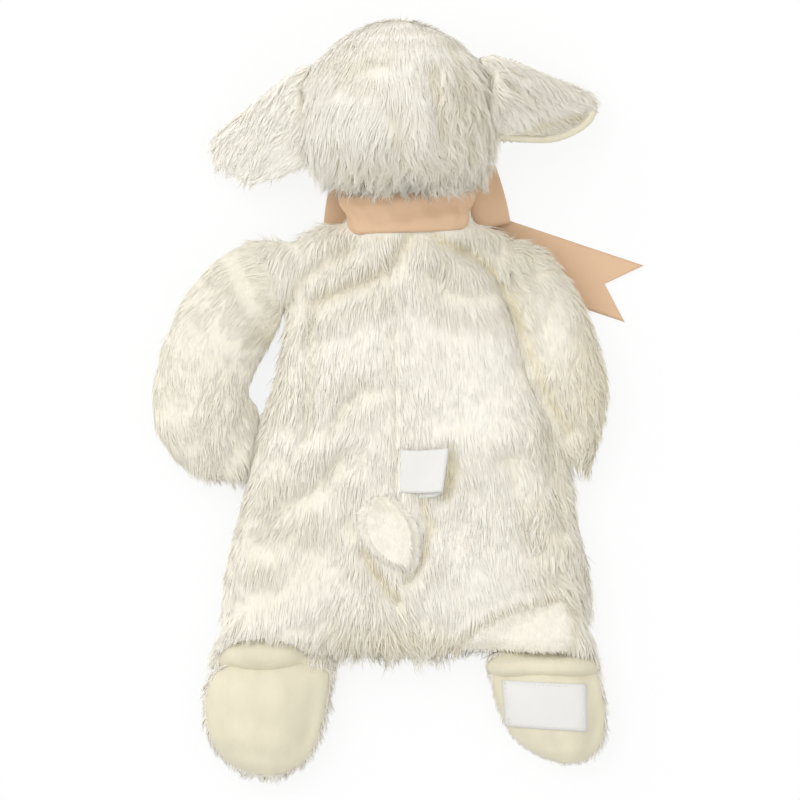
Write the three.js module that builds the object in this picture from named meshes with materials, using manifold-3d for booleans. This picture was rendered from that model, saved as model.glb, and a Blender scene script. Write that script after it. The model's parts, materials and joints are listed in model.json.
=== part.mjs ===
// A lamb comforter: a flat plush body with a stuffed head, floppy ears, arms and feet, a short tail,
// a folded care label in the centre back seam and a ribbon bow round the neck.
// It lies face down on the floor z = 0, back up, head towards +Y. Lengths are millimetres.
// Left and right are the lamb's own, which are also left and right for someone looking at its back.

import * as THREE from "three";
import { mergeVertices } from "three/addons/utils/BufferGeometryUtils.js";
import Module from "manifold-3d";

const wasm = await Module();
wasm.setup();

// Cloth and clearances
const plushWall = 3;
const velourWall = 1.6;
const sewingGap = 0.3;
const floorCut = 0.5;
const sectionPower = 0.75;

// Heights of the soft parts, from the floor up
const bodySeamHeight = 9;
const bodyThickness = 21.5;
const neckUnderside = 7.2;
const neckTop = 23.2;
const armThickness = 21;
const rightArmUnderside = 1.5;
const footThickness = 21;
const legThickness = 18;
const headThickness = 58;
const earPileThickness = 5;
const earLiningThickness = 2.2;

// Places where one soft part ends and the next begins, and lengths beyond them
const neckEndY = 82;
const headLength = 69.2;
const furEdgeY = -101.7;
const cuffWidth = 6.6;
const ankleCreaseY = furEdgeY - cuffWidth;
const footLength = { left: 42.9, right: 37.5 };
const backSeamX = -1.6;

// Ribbon
const ribbonWidth = 24;
const ribbonThickness = 0.7;
const ribbonBandWidth = 14.8;
const knotCentre = [4, neckEndY - 9.2];
const knotRadius = 7.6;
const knotUnderside = 0.3;
const knotTop = 5.7;
const ribbonPinchWidth = 9;
const ribbonFlareLength = 22;
const ribbonEndLength = 95;
const ribbonNotchDepth = 12.5;
const rightEndAngle = -18.5;
const leftEndAngle = -122;
const loopLength = { left: 34, right: 39 };
const loopAngle = { left: 172, right: 15 };
const loopUnderside = 1.3;
const loopHeight = 3;

// Labels and tail
const labelTapeThickness = 0.4;
const careLabelWidth = 17;
const careLabelLength = { head: 20.6, foot: 18.2 };
const careLabelHeadY = -19.4;
const careLabelLift = 4.6;
const careLabelPlyGap = 0.9;
const footLabelSize = { along: 32, across: 19 };
const footLabelCentre = [59, ankleCreaseY - 13];
const footLabelTurn = -2;
const tailThickness = 6.5;
const tailPanelInset = 3.2;

// Embroidered face
const eyeCentre = [17, neckEndY + 46];
const eyeWidth = 9;
const noseCentre = [-1, neckEndY + 14];
const noseWidth = 10;
const mouthDrop = 6.5;
const threadHeight = 1.1;

// Numbers of points on the soft forms
const bodySteps = { rows: 14, across: 13, innerRows: 9, around: 12 };
const headSteps = { rows: 11, across: 12, innerRows: 7, around: 12 };
const limbSteps = { rows: 9, across: 8, innerRows: 6, around: 8 };
const earSteps = { rows: 8, across: 7 };

const materials = {
  plush: new THREE.MeshStandardMaterial({ color: 0xf3efe2, roughness: 0.95, metalness: 0 }),
  velour: new THREE.MeshStandardMaterial({ color: 0xece6cf, roughness: 0.9, metalness: 0 }),
  filling: new THREE.MeshStandardMaterial({ color: 0xfafaf7, roughness: 1, metalness: 0 }),
  ribbon: new THREE.MeshStandardMaterial({ color: 0xd9ae8a, roughness: 0.6, metalness: 0 }),
  label: new THREE.MeshStandardMaterial({ color: 0xe9e9e6, roughness: 0.7, metalness: 0 }),
  thread: new THREE.MeshStandardMaterial({ color: 0x7b6250, roughness: 0.7, metalness: 0 }),
};

// Geometry

// A closed geometry from points and triangles, turned so that its faces point out.
function closedGeometry(points, triangles) {
  let volume = 0;
  for (let i = 0; i < triangles.length; i += 3) {
    const [a, b, c] = [points[triangles[i]], points[triangles[i + 1]], points[triangles[i + 2]]];
    volume += a.dot(new THREE.Vector3().crossVectors(b, c));
  }
  const index = volume < 0 ? [...triangles].reverse() : triangles;
  return new THREE.BufferGeometry().setFromPoints(points).setIndex(index);
}

// The two triangles of a four-sided patch.
function quad(a, b, c, d) {
  return [a, b, c, a, c, d];
}

// A skin between two grids of points with the same rows, closed all round its border.
function thickSheet(outside, inside) {
  const rows = outside.length;
  const count = outside[0].length;
  const points = [...outside.flat(), ...inside.flat()];
  const at = (layer, i, j) => (layer * rows + i) * count + j;
  const triangles = [];
  for (let i = 0; i < rows - 1; i += 1) {
    for (let j = 0; j < count - 1; j += 1) {
      triangles.push(...quad(at(0, i, j), at(0, i, j + 1), at(0, i + 1, j + 1), at(0, i + 1, j)));
      triangles.push(...quad(at(1, i, j), at(1, i + 1, j), at(1, i + 1, j + 1), at(1, i, j + 1)));
    }
    triangles.push(...quad(at(0, i, 0), at(0, i + 1, 0), at(1, i + 1, 0), at(1, i, 0)));
    const last = count - 1;
    triangles.push(...quad(at(0, i, last), at(1, i, last), at(1, i + 1, last), at(0, i + 1, last)));
  }
  for (let j = 0; j < count - 1; j += 1) {
    triangles.push(...quad(at(0, 0, j), at(1, 0, j), at(1, 0, j + 1), at(0, 0, j + 1)));
    const last = rows - 1;
    triangles.push(...quad(at(0, last, j), at(0, last, j + 1), at(1, last, j + 1), at(1, last, j)));
  }
  return closedGeometry(points, triangles);
}

// A solid through rings of points: capped at both ends, or joined end to start as a hoop.
function throughRings(rings, hoop = false) {
  const count = rings[0].length;
  const points = rings.flat();
  const triangles = [];
  const spans = hoop ? rings.length : rings.length - 1;
  for (let i = 0; i < spans; i += 1) {
    const next = (i + 1) % rings.length;
    for (let j = 0; j < count; j += 1) {
      const k = (j + 1) % count;
      triangles.push(...quad(i * count + j, i * count + k, next * count + k, next * count + j));
    }
  }
  if (!hoop) {
    for (const [ring, turned] of [[0, true], [rings.length - 1, false]]) {
      const middle = points.length;
      const sum = rings[ring].reduce((total, p) => total.add(p), new THREE.Vector3());
      points.push(sum.divideScalar(count));
      for (let j = 0; j < count; j += 1) {
        const [a, b] = [ring * count + j, ring * count + ((j + 1) % count)];
        triangles.push(middle, turned ? b : a, turned ? a : b);
      }
    }
  }
  return closedGeometry(points, triangles);
}

// Joins and cuts of closed geometries
function solidOf(geometry) {
  const bare = geometry.clone();
  bare.deleteAttribute("normal");
  bare.deleteAttribute("uv");
  const merged = mergeVertices(bare, 1e-4);
  const mesh = new wasm.Mesh({
    numProp: 3,
    vertProperties: merged.attributes.position.array,
    triVerts: new Uint32Array(merged.index.array),
  });
  return new wasm.Manifold(mesh);
}

function geometryOf(solid) {
  const mesh = solid.getMesh();
  const geometry = new THREE.BufferGeometry();
  geometry.setAttribute("position", new THREE.BufferAttribute(mesh.vertProperties, 3));
  geometry.setIndex(new THREE.BufferAttribute(mesh.triVerts, 1));
  return geometry;
}

const joined = (geometries) => geometries.map(solidOf).reduce((all, one) => all.add(one));

// The largest body of a solid, without the crumbs that a cut may leave.
const largest = (solid) =>
  solid.decompose().reduce((best, one) => (one.volume() > best.volume() ? one : best));

function box(minX, maxX, minY, maxY, minZ, maxZ) {
  const geometry = new THREE.BoxGeometry(maxX - minX, maxY - minY, maxZ - minZ);
  return geometry.translate((minX + maxX) / 2, (minY + maxY) / 2, (minZ + maxZ) / 2);
}

// Soft forms
// A form is a list of ribs. A rib is a straight line across the part, with its two ends in plan,
// the height of the seam between the upper and lower cover, and the lowest and highest points.

function rib(a, b, low, high, seam = bodySeamHeight) {
  return { a, b, low, high, seam };
}

const halfLength = ({ a, b }) => Math.hypot(b[0] - a[0], b[1] - a[1]) / 2;

// Ribs at even steps along smooth curves through a form's own ribs, from share start to share end.
function smoothRibs(ribs, count, start = 0, end = 1) {
  const curve = (pick) => new THREE.CatmullRomCurve3(ribs.map((r) => new THREE.Vector3(...pick(r))));
  const endsA = curve((r) => [...r.a, 0]);
  const endsB = curve((r) => [...r.b, 0]);
  const heights = curve((r) => [r.low, r.high, r.seam]);
  return Array.from({ length: count }, (_, i) => {
    const t = start + ((end - start) * i) / (count - 1);
    const a = endsA.getPoint(t);
    const b = endsB.getPoint(t);
    const height = heights.getPoint(t);
    return rib([a.x, a.y], [b.x, b.y], height.x, height.y, height.z);
  });
}

// A point of a rib's section: angle 0 is at end b on the seam, 90 degrees at the top.
function sectionPoint(r, angle, inset, gap = 0) {
  const side = Math.sin(angle) < 0 ? -1 : 1;
  const across = Math.max(1 - inset / halfLength(r), 0.15) * Math.cos(angle);
  const reach = Math.max((side > 0 ? r.high - r.seam : r.seam - r.low) - inset - gap / 2, 0.25);
  const bulge = Math.abs(Math.sin(angle)) ** sectionPower;
  const x = (r.a[0] + r.b[0]) / 2 + (across * (r.b[0] - r.a[0])) / 2;
  const y = (r.a[1] + r.b[1]) / 2 + (across * (r.b[1] - r.a[1])) / 2;
  const z = r.seam + side * (gap / 2 + reach * bulge);
  return new THREE.Vector3(x, y, Math.max(z, inset));
}

// The closed upper (side 1) or lower (side -1) half of a form, down or up to its seam.
function halfForm(ribs, across, side) {
  const rings = ribs.map((r) =>
    Array.from({ length: across }, (_, j) => {
      const angle = side * (0.001 + ((Math.PI - 0.002) * j) / (across - 1));
      return sectionPoint(r, angle, 0, sewingGap);
    }),
  );
  return throughRings(rings);
}

// The whole closed form, drawn in by inset all round.
function wholeForm(ribs, around, inset) {
  const rings = ribs.map((r) =>
    Array.from({ length: around }, (_, j) => {
      const angle = (2 * Math.PI * (j + 0.5)) / around;
      return sectionPoint(r, angle, inset);
    }),
  );
  return throughRings(rings);
}

// The share of a form's length that a wall takes at one end.
function wallShare(ribs, wall) {
  const middle = ({ a, b }) => new THREE.Vector2((a[0] + b[0]) / 2, (a[1] + b[1]) / 2);
  const length = ribs.slice(1).reduce((sum, r, i) => sum + middle(r).distanceTo(middle(ribs[i])), 0);
  return wall / length;
}

// The hollow inside a form, short of its ends by the wall, or from the very start of a branch.
function hollowRibs(ribs, rows, wall, isBranch = false) {
  const share = wallShare(ribs, wall);
  return smoothRibs(ribs, rows, isBranch ? 0 : share, 1 - share);
}

// The height of a form's upper or lower surface over a point, for forms with ribs along X.
function surfaceHeight(ribs, x, y, side) {
  const rows = smoothRibs(ribs, 61);
  const next = rows.findIndex((r, i) => i > 0 && (r.a[1] - y) * (rows[i - 1].a[1] - y) <= 0);
  const height = (r) => {
    const share = (2 * x - r.a[0] - r.b[0]) / (r.b[0] - r.a[0]);
    const angle = side * Math.acos(THREE.MathUtils.clamp(share, -0.999, 0.999));
    return sectionPoint(r, angle, 0, sewingGap).z;
  };
  const [before, after] = [rows[next - 1], rows[next]];
  const share = (y - before.a[1]) / (after.a[1] - before.a[1]);
  return THREE.MathUtils.lerp(height(before), height(after), share);
}

// Outlines of the soft parts. Each row of a flat form is: y, left x, right x, underside, top.
const flatRibs = (rows, seam) =>
  rows.map(([y, left, right, low, high]) =>
    rib([left, y], [right, y], low, high, seam ?? (low + high) / 2),
  );

const torsoRibs = flatRibs(
  [
    [66.5, -25, 32, bodySeamHeight - 2.5, bodySeamHeight + 3.5],
    [63, -32, 36, 5.2, bodyThickness * 0.85],
    [52, -38, 37.5, 4.4, bodyThickness],
    [38, -45.5, 44.8, 3.6, bodyThickness],
    [24, -49, 50, 3, bodyThickness],
    [6, -52.5, 55, 2.4, bodyThickness],
    [-10, -59, 64.5, 1.8, bodyThickness],
    [-24, -61.5, 69.5, 1.6, bodyThickness],
    [-42, -65, 71.5, -floorCut, bodyThickness],
    [-64, -71, 77, -floorCut, bodyThickness * 0.95],
    [-82, -73.5, 79, -floorCut, bodyThickness * 0.9],
    [-95, -72, 76.5, -floorCut, bodyThickness * 0.8],
    [furEdgeY, -66, 71, bodySeamHeight - 5, bodySeamHeight + 5],
  ],
  bodySeamHeight,
);

const neckRibs = flatRibs(
  [
    [neckEndY - 26, -20, 28, neckUnderside, neckTop],
    [neckEndY - 14, -21.5, 29.5, neckUnderside, neckTop],
    [neckEndY, -21.2, 29.8, neckUnderside, neckTop],
  ],
  bodySeamHeight,
);

// The head's rows start with the share of its length beyond the neck.
const headRibs = flatRibs(
  [
    [sewingGap / headLength, -21, 29, neckUnderside + 1, neckTop],
    [0.06, -32, 33, 6.5, headThickness * 0.64],
    [0.145, -34.5, 34.5, 4.2, headThickness * 0.81],
    [0.26, -38, 36.5, 1.6, headThickness * 0.94],
    [0.405, -39.8, 37.8, -floorCut, headThickness],
    [0.58, -39, 37, -floorCut, headThickness],
    [0.725, -34.5, 32.5, 2, headThickness * 0.93],
    [0.855, -26.5, 25, 7.5, headThickness * 0.82],
    [0.945, -17, 14.5, 15, headThickness * 0.69],
    [1, -5, 3, 25, headThickness * 0.52],
  ].map(([share, ...row]) => [neckEndY + share * headLength, ...row]),
);

// Each row of a limb is: end nearer the body, outer end, underside, top.
const limbRibs = (rows) => rows.map(([inner, outer, low, high]) => rib(inner, outer, low, high));

// The line in plan where each arm leaves its shoulder, and the same line a distance further out
const shoulderLine = {
  left: [[-46.5, 35], [-58.5, 65.5]],
  right: [[41.5, 46.5], [56, 61.5]],
};

function beyondShoulder(side, distance) {
  const [inner, outer] = shoulderLine[side];
  const length = Math.hypot(outer[0] - inner[0], outer[1] - inner[1]);
  const step = ((side === "left" ? 1 : -1) * distance) / length;
  const move = ([x, y]) => [x - step * (outer[1] - inner[1]), y + step * (outer[0] - inner[0])];
  return [move(inner), move(outer)];
}

const shoulderRibs = {
  left: limbRibs([
    [[-27, 42], [-27, 62], 5, armThickness * 0.8],
    [[-38, 37], [-44, 64.5], 4, armThickness * 0.9],
    [...shoulderLine.left, 1.5, armThickness * 0.93],
  ]),
  right: limbRibs([
    [[24, 44], [32, 62], 5, armThickness * 0.8],
    [[31, 45], [44, 63.5], 4, armThickness * 0.87],
    [...shoulderLine.right, 3, armThickness * 0.87],
  ]),
};

const armRibs = {
  left: limbRibs([
    [...beyondShoulder("left", sewingGap), 1.5, armThickness * 0.93],
    [[-50, 28], [-75, 56], 0.4, armThickness],
    [[-54.5, 20], [-87.5, 41], -floorCut, armThickness],
    [[-58.8, 12], [-96, 22], -floorCut, armThickness],
    [[-60.5, 2], [-100, 4], -floorCut, armThickness],
    [[-61, -9], [-99, -11], -floorCut, armThickness],
    [[-64, -20], [-93, -21.5], 0.4, armThickness * 0.9],
    [[-69, -28.5], [-85.5, -28], 3, armThickness * 0.75],
    [[-73, -31.8], [-78, -31.8], 6, armThickness * 0.55],
  ]),
  right: limbRibs([
    [...beyondShoulder("right", sewingGap), 3, armThickness * 0.87],
    [[48.5, 40.5], [66, 50.5], rightArmUnderside, armThickness * 0.9],
    [[52, 31], [74.5, 37], rightArmUnderside, armThickness * 0.9],
    [[54, 20], [80.5, 20], rightArmUnderside, armThickness * 0.9],
    [[58.5, 7], [83.3, 7], rightArmUnderside, armThickness * 0.9],
    [[66, -5], [82.5, -5], rightArmUnderside, armThickness * 0.85],
    [[71, -15], [79.5, -16], 3, armThickness * 0.75],
    [[73.2, -24], [77.8, -25], 4.5, armThickness * 0.65],
    [[74, -29.5], [76.4, -30.5], 6, armThickness * 0.55],
  ]),
};

const legRibs = {
  left: flatRibs(
    [
      [-80, -66, -36, 2, legThickness * 0.95],
      [-92, -73.5, -29.5, 0, legThickness],
      [furEdgeY, -77, -25, -floorCut, legThickness],
    ],
    bodySeamHeight,
  ),
  right: flatRibs(
    [
      [-80, 44, 70, 2, legThickness * 0.95],
      [-92, 37.5, 78, 0, legThickness],
      [furEdgeY, 34.2, 80, -floorCut, legThickness],
    ],
    bodySeamHeight,
  ),
};

const cuffRibs = {
  left: flatRibs(
    [
      [furEdgeY - sewingGap, -77, -25, -floorCut, legThickness],
      [(furEdgeY + ankleCreaseY) / 2, -77, -25, -floorCut, legThickness + 1.2],
      [ankleCreaseY, -76.5, -25.5, -floorCut, legThickness - 1],
    ],
    bodySeamHeight,
  ),
  right: flatRibs(
    [
      [furEdgeY - sewingGap, 34.2, 80, -floorCut, legThickness],
      [(furEdgeY + ankleCreaseY) / 2, 34.4, 80.3, -floorCut, legThickness + 1.2],
      [ankleCreaseY, 34.7, 80.6, -floorCut, legThickness - 1],
    ],
    bodySeamHeight,
  ),
};

// A foot's rows start with the share of its length beyond the crease at the ankle.
function footRibsOf(side, rows) {
  const ankle = cuffRibs[side][2];
  const beyond = rows.map(([share, ...row]) => [ankleCreaseY - share * footLength[side], ...row]);
  const root = [ankleCreaseY - sewingGap, ankle.a[0], ankle.b[0], ankle.low, ankle.high];
  return flatRibs([root, ...beyond], bodySeamHeight);
}

const footRibs = {
  left: footRibsOf("left", [
    [0.18, -79, -26.8, -floorCut, footThickness * 0.97],
    [0.39, -79.6, -28.4, -floorCut, footThickness],
    [0.62, -77.5, -31.4, -floorCut, footThickness],
    [0.81, -72.5, -35.5, 0.5, footThickness * 0.92],
    [0.935, -65, -41.5, 3, footThickness * 0.76],
    [1, -57, -49, 6, footThickness * 0.58],
  ]),
  right: footRibsOf("right", [
    [0.23, 36, 82.3, -floorCut, footThickness * 0.97],
    [0.5, 39.5, 83.3, -floorCut, footThickness],
    [0.74, 45, 82, -floorCut, footThickness * 0.95],
    [0.9, 53.5, 78.5, 1.5, footThickness * 0.84],
    [1, 62.5, 73, 6, footThickness * 0.6],
  ]),
};

// Each row of an ear is: x, lower and upper edge beyond the neck's end, and the height of the seam
// between pile side and lining.
const earRibs = (rows) =>
  rows.map(([x, lower, upper, seam], i) => {
    const taper = i === rows.length - 1 ? 0.5 : 1;
    const high = seam + earPileThickness * taper;
    const low = seam - earLiningThickness * taper;
    return rib([x, neckEndY + lower], [x, neckEndY + upper], low, high, seam);
  });

const earRibsOf = {
  left: earRibs([
    [-30, 12, 52, 31],
    [-39, 9, 51.5, 29],
    [-48, 5.5, 46, 24],
    [-57, 4, 38.5, 17.5],
    [-66, 6.5, 32.5, 10.5],
    [-73, 12, 26.5, 6],
    [-76, 17, 22, 4.5],
  ]),
  right: earRibs([
    [30, 21, 54, 31],
    [38, 19.5, 56, 30],
    [48, 19.5, 53, 26],
    [58, 21, 48.5, 20],
    [68, 24, 45.5, 13],
    [76, 28.5, 42, 8.5],
    [79.3, 33, 38, 7],
  ]),
};

const tailRibs = flatRibs([
  [-38.4, -10, -2.5, 0, tailThickness * 0.6],
  [-42.5, -15.4, 1.6, 0, tailThickness * 0.9],
  [-49, -16.8, 6.8, 0, tailThickness],
  [-57, -14.6, 8, 0, tailThickness],
  [-63.5, -9, 7.4, 0, tailThickness * 0.85],
  [-68.6, 2, 6, 0, tailThickness * 0.5],
]);

const group = new THREE.Group();

function addPiece(name, material, geometry) {
  const mesh = new THREE.Mesh(geometry, materials[material]);
  mesh.name = name;
  group.add(mesh);
}

// Body: the torso with the neck, the shoulders and the tops of the legs

const bodyBranches = [
  neckRibs,
  shoulderRibs.left,
  shoulderRibs.right,
  legRibs.left,
  legRibs.right,
];

function bodyHollow(extra) {
  const inset = plushWall + extra;
  const trunk = hollowRibs(torsoRibs, bodySteps.innerRows, plushWall);
  const branches = bodyBranches.map((ribs) => hollowRibs(ribs, 3, plushWall, true));
  return joined([
    wholeForm(trunk, bodySteps.around, inset),
    ...branches.map((ribs) => wholeForm(ribs, limbSteps.around, inset)),
  ]);
}

function bodyHalf(side) {
  return joined([
    halfForm(smoothRibs(torsoRibs, bodySteps.rows), bodySteps.across, side),
    ...bodyBranches.map((ribs) => halfForm(smoothRibs(ribs, 4), limbSteps.across, side)),
  ]);
}

function buildBody() {
  const hollow = bodyHollow(0);
  const half = (side) => bodyHalf(side).subtract(hollow);
  const back = half(1);
  const far = 400;
  const leftOfSeam = solidOf(box(-far, backSeamX - sewingGap / 2, -far, far, -far, far));
  const rightOfSeam = solidOf(box(backSeamX + sewingGap / 2, far, -far, far, -far, far));
  addPiece("body_back_left_plush", "plush", geometryOf(largest(back.intersect(leftOfSeam))));
  addPiece("body_back_right_plush", "plush", geometryOf(largest(back.intersect(rightOfSeam))));
  addPiece("body_front_plush", "plush", geometryOf(largest(half(-1))));
  addPiece("body_filling", "filling", geometryOf(largest(bodyHollow(sewingGap))));
  for (const side of ["left", "right"]) {
    const outline = smoothRibs(cuffRibs[side], 5);
    addPiece(`leg_${side}_cuff`, "velour", halfForm(outline, limbSteps.across, 1));
    addPiece(`leg_${side}_plush`, "plush", halfForm(outline, limbSteps.across, -1));
  }
}

// Two covers sewn together at the seam, with the filling inside
function buildStuffed(name, ribs, steps, upper, lower) {
  const outline = smoothRibs(ribs, steps.rows);
  const wall = Math.max(upper.wall, lower.wall);
  const inner = hollowRibs(ribs, steps.innerRows, wall);
  const hollow = solidOf(wholeForm(inner, steps.around, wall));
  const cover = (side) => solidOf(halfForm(outline, steps.across, side)).subtract(hollow);
  addPiece(`${name}_${upper.name}`, upper.material, geometryOf(largest(cover(1))));
  addPiece(`${name}_${lower.name}`, lower.material, geometryOf(largest(cover(-1))));
  addPiece(`${name}_filling`, "filling", wholeForm(inner, steps.around, wall + sewingGap));
}

const plushCover = (name) => ({ name, material: "plush", wall: plushWall });
const velourCover = (name) => ({ name, material: "velour", wall: velourWall });

// Ears: a pile side and a smooth lining, cut to the outline of the head
function buildEars() {
  const outline = smoothRibs(headRibs, headSteps.rows).map((r) => {
    const grow = (end, other) => end + Math.sign(end - other) * 1.5 * sewingGap;
    const a = [grow(r.a[0], r.b[0]), r.a[1]];
    const b = [grow(r.b[0], r.a[0]), r.b[1]];
    return rib(a, b, 0, headThickness, headThickness / 2);
  });
  const tall = headThickness + 10;
  const prism = solidOf(
    throughRings(
      outline.map(({ a, b }) => [
        new THREE.Vector3(...a, -10),
        new THREE.Vector3(...b, -10),
        new THREE.Vector3(...b, tall),
        new THREE.Vector3(...a, tall),
      ]),
    ),
  );
  for (const side of ["left", "right"]) {
    const ribs = smoothRibs(earRibsOf[side], earSteps.rows);
    const layer = (up) => solidOf(halfForm(ribs, earSteps.across, up)).subtract(prism);
    addPiece(`ear_${side}_plush`, "plush", geometryOf(largest(layer(1))));
    addPiece(`ear_${side}_lining`, "velour", geometryOf(largest(layer(-1))));
  }
}

// Face embroidery: raised thread bands under the face

// A band along a line of places in plan, just below the face's lower surface.
function threadBand(places, widths) {
  const layers = [sewingGap, sewingGap + threadHeight].map((depth) =>
    places.map(([x, y], i) => {
      const before = places[Math.max(i - 1, 0)];
      const after = places[Math.min(i + 1, places.length - 1)];
      const along = new THREE.Vector2(after[0] - before[0], after[1] - before[1]).normalize();
      return [-1, 0, 1].map((edge) => {
        const px = x - (edge * along.y * widths[i]) / 2;
        const py = y + (edge * along.x * widths[i]) / 2;
        return new THREE.Vector3(px, py, surfaceHeight(headRibs, px, py, -1) - depth);
      });
    }),
  );
  return thickSheet(layers[0], layers[1]);
}

const arcPlaces = (centreX, centreY, width, drop, steps) =>
  Array.from({ length: steps + 1 }, (_, i) => {
    const t = (2 * i) / steps - 1;
    return [centreX + (t * width) / 2, centreY - drop * (1 - t * t)];
  });

function buildFace() {
  const headMiddle = noseCentre[0];
  for (const [side, turn] of [["left", -1], ["right", 1]]) {
    const places = arcPlaces(headMiddle + turn * eyeCentre[0], eyeCentre[1], eyeWidth, 2.6, 8);
    addPiece(`eye_${side}_embroidery`, "thread", threadBand(places, places.map(() => 1.8)));
  }
  const nose = arcPlaces(headMiddle, noseCentre[1], noseWidth, 1.2, 8);
  const noseWidths = nose.map((_, i) => 1.2 + 4.2 * Math.sin((Math.PI * i) / 8) ** 0.8);
  addPiece("nose_embroidery", "thread", threadBand(nose, noseWidths));
  const mouth = arcPlaces(headMiddle, noseCentre[1] - mouthDrop, noseWidth, 1.6, 8);
  addPiece("mouth_embroidery", "thread", threadBand(mouth, mouth.map(() => 1.4)));
}

// Tail: a flat pocket on the back, whose root is sewn into the centre back seam
function buildTail() {
  const rows = smoothRibs(tailRibs, 8);
  const backHeight = (x, y) => surfaceHeight(torsoRibs, x, y, 1) + 1.5 * sewingGap;
  const layer = (inset, from, to) => {
    const grid = (share) =>
      rows.map((r) =>
        Array.from({ length: 7 }, (_, j) => {
          const t = j / 3 - 1;
          const half = Math.max(halfLength(r) - inset, 0.6);
          const x = (r.a[0] + r.b[0]) / 2 + t * half;
          const y = r.a[1] + (inset * (r === rows[0] ? -1 : r === rows[rows.length - 1] ? 1 : 0)) / 2;
          const edge = (t * half) / halfLength(r);
          const crown = (1 - 0.65 * edge * edge) * r.high;
          return new THREE.Vector3(x, y, backHeight(x, y) + share(crown));
        }),
      );
    return thickSheet(grid(to), grid(from));
  };
  const padHeight = (crown) => 0.55 * crown;
  addPiece("tail_plush", "plush", layer(0, () => 0, padHeight));
  const panelBase = (crown) => padHeight(crown) + 2 * sewingGap;
  const panelTop = (crown) => Math.max(crown, panelBase(crown) + 1);
  addPiece("tail_panel", "velour", layer(tailPanelInset, panelBase, panelTop));
}

// Care label: a tape folded double, both ends sewn into the centre back seam
function buildCareLabel() {
  const foldRadius = careLabelPlyGap / 2 + labelTapeThickness;
  const steps = 8;
  const seat = backSeamX + sewingGap;
  const rows = Array.from({ length: 5 }, (_, i) => {
    const y = careLabelHeadY - (careLabelWidth * i) / 4;
    const length = THREE.MathUtils.lerp(careLabelLength.head, careLabelLength.foot, i / 4);
    const base = surfaceHeight(torsoRibs, seat, y, 1) + sewingGap;
    const rise = (x) => base + careLabelLift * ((x - seat) / length) ** 1.3;
    const run = length - foldRadius;
    const path = (radius) => {
      const upper = Array.from({ length: steps }, (_, j) => {
        const x = seat + (run * j) / steps;
        return new THREE.Vector3(x, y, rise(x) + foldRadius + radius);
      });
      const lower = upper.map((p) => new THREE.Vector3(p.x, y, p.z - 2 * radius)).reverse();
      const turn = [1, 0.5, 0, -0.5, -1].map((share) => {
        const x = seat + run;
        const angle = (share * Math.PI) / 2;
        const out = radius * Math.cos(angle);
        return new THREE.Vector3(x + out, y, rise(x) + foldRadius + radius * Math.sin(angle));
      });
      return [...upper, ...turn, ...lower];
    };
    return { outer: path(foldRadius), inner: path(foldRadius - labelTapeThickness) };
  });
  addPiece("care_label", "label", thickSheet(rows.map((r) => r.outer), rows.map((r) => r.inner)));
}

// Foot label: a woven patch on the right sole
function buildFootLabel() {
  const turn = THREE.MathUtils.degToRad(footLabelTurn);
  const grid = (lift) =>
    Array.from({ length: 6 }, (_, i) =>
      Array.from({ length: 7 }, (_, j) => {
        const u = (j / 6 - 0.5) * footLabelSize.along;
        const v = (0.5 - i / 5) * footLabelSize.across;
        const x = footLabelCentre[0] + u * Math.cos(turn) - v * Math.sin(turn);
        const y = footLabelCentre[1] + u * Math.sin(turn) + v * Math.cos(turn);
        return new THREE.Vector3(x, y, surfaceHeight(footRibs.right, x, y, 1) + lift);
      }),
    );
  const seat = 1.5 * sewingGap;
  addPiece("foot_label", "label", thickSheet(grid(seat + labelTapeThickness), grid(seat)));
}

// Ribbon

// The band round the neck follows the neck's own section, with a sewing gap between them.
function buildNeckRibbon() {
  const band = neckRibs[1];
  const bandStartY = neckEndY - ribbonBandWidth;
  const around = 28;
  const ringAt = (inset) =>
    Array.from({ length: around }, (_, j) =>
      sectionPoint(band, (2 * Math.PI * (j + 0.5)) / around, -inset),
    );
  const [inner, outer] = [ringAt(1.5 * sewingGap), ringAt(1.5 * sewingGap + ribbonThickness)];
  const section = (j) => [
    new THREE.Vector3(inner[j].x, bandStartY, inner[j].z),
    new THREE.Vector3(inner[j].x, neckEndY, inner[j].z),
    new THREE.Vector3(outer[j].x, neckEndY, outer[j].z),
    new THREE.Vector3(outer[j].x, bandStartY, outer[j].z),
  ];
  addPiece("neck_ribbon", "ribbon", throughRings(inner.map((_, j) => section(j)), true));
}

// The knot's underside is pressed nearly flat, so that it meets the two ends that leave it there.
function buildKnot() {
  const height = knotTop - knotUnderside;
  const [pressed, round] = [0.4, 1.6];
  const profile = [
    [0, 0],
    [knotRadius - pressed, 0],
    [knotRadius, pressed],
    [knotRadius, height - round],
    [knotRadius - 0.3 * round, height - 0.3 * round],
    [knotRadius - round, height],
    [0, height],
  ].map(([r, z]) => new THREE.Vector2(r, z));
  const knot = new THREE.LatheGeometry(profile, 20).rotateX(Math.PI / 2);
  addPiece("bow_knot", "ribbon", knot.translate(knotCentre[0], knotCentre[1], knotUnderside));
}

// The width of the ribbon at a distance from the knot's middle, gathered where it enters the knot.
function flaredWidth(distance) {
  const share = THREE.MathUtils.smoothstep(distance, knotRadius, knotRadius + ribbonFlareLength);
  return THREE.MathUtils.lerp(ribbonPinchWidth, ribbonWidth, share);
}

// A place in plan at a distance from the knot along a direction, and off to its left.
function fromKnot(angle, distance, offset) {
  const turn = THREE.MathUtils.degToRad(angle);
  const x = knotCentre[0] + distance * Math.cos(turn) - offset * Math.sin(turn);
  const y = knotCentre[1] + distance * Math.sin(turn) + offset * Math.cos(turn);
  return [x, y];
}

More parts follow.
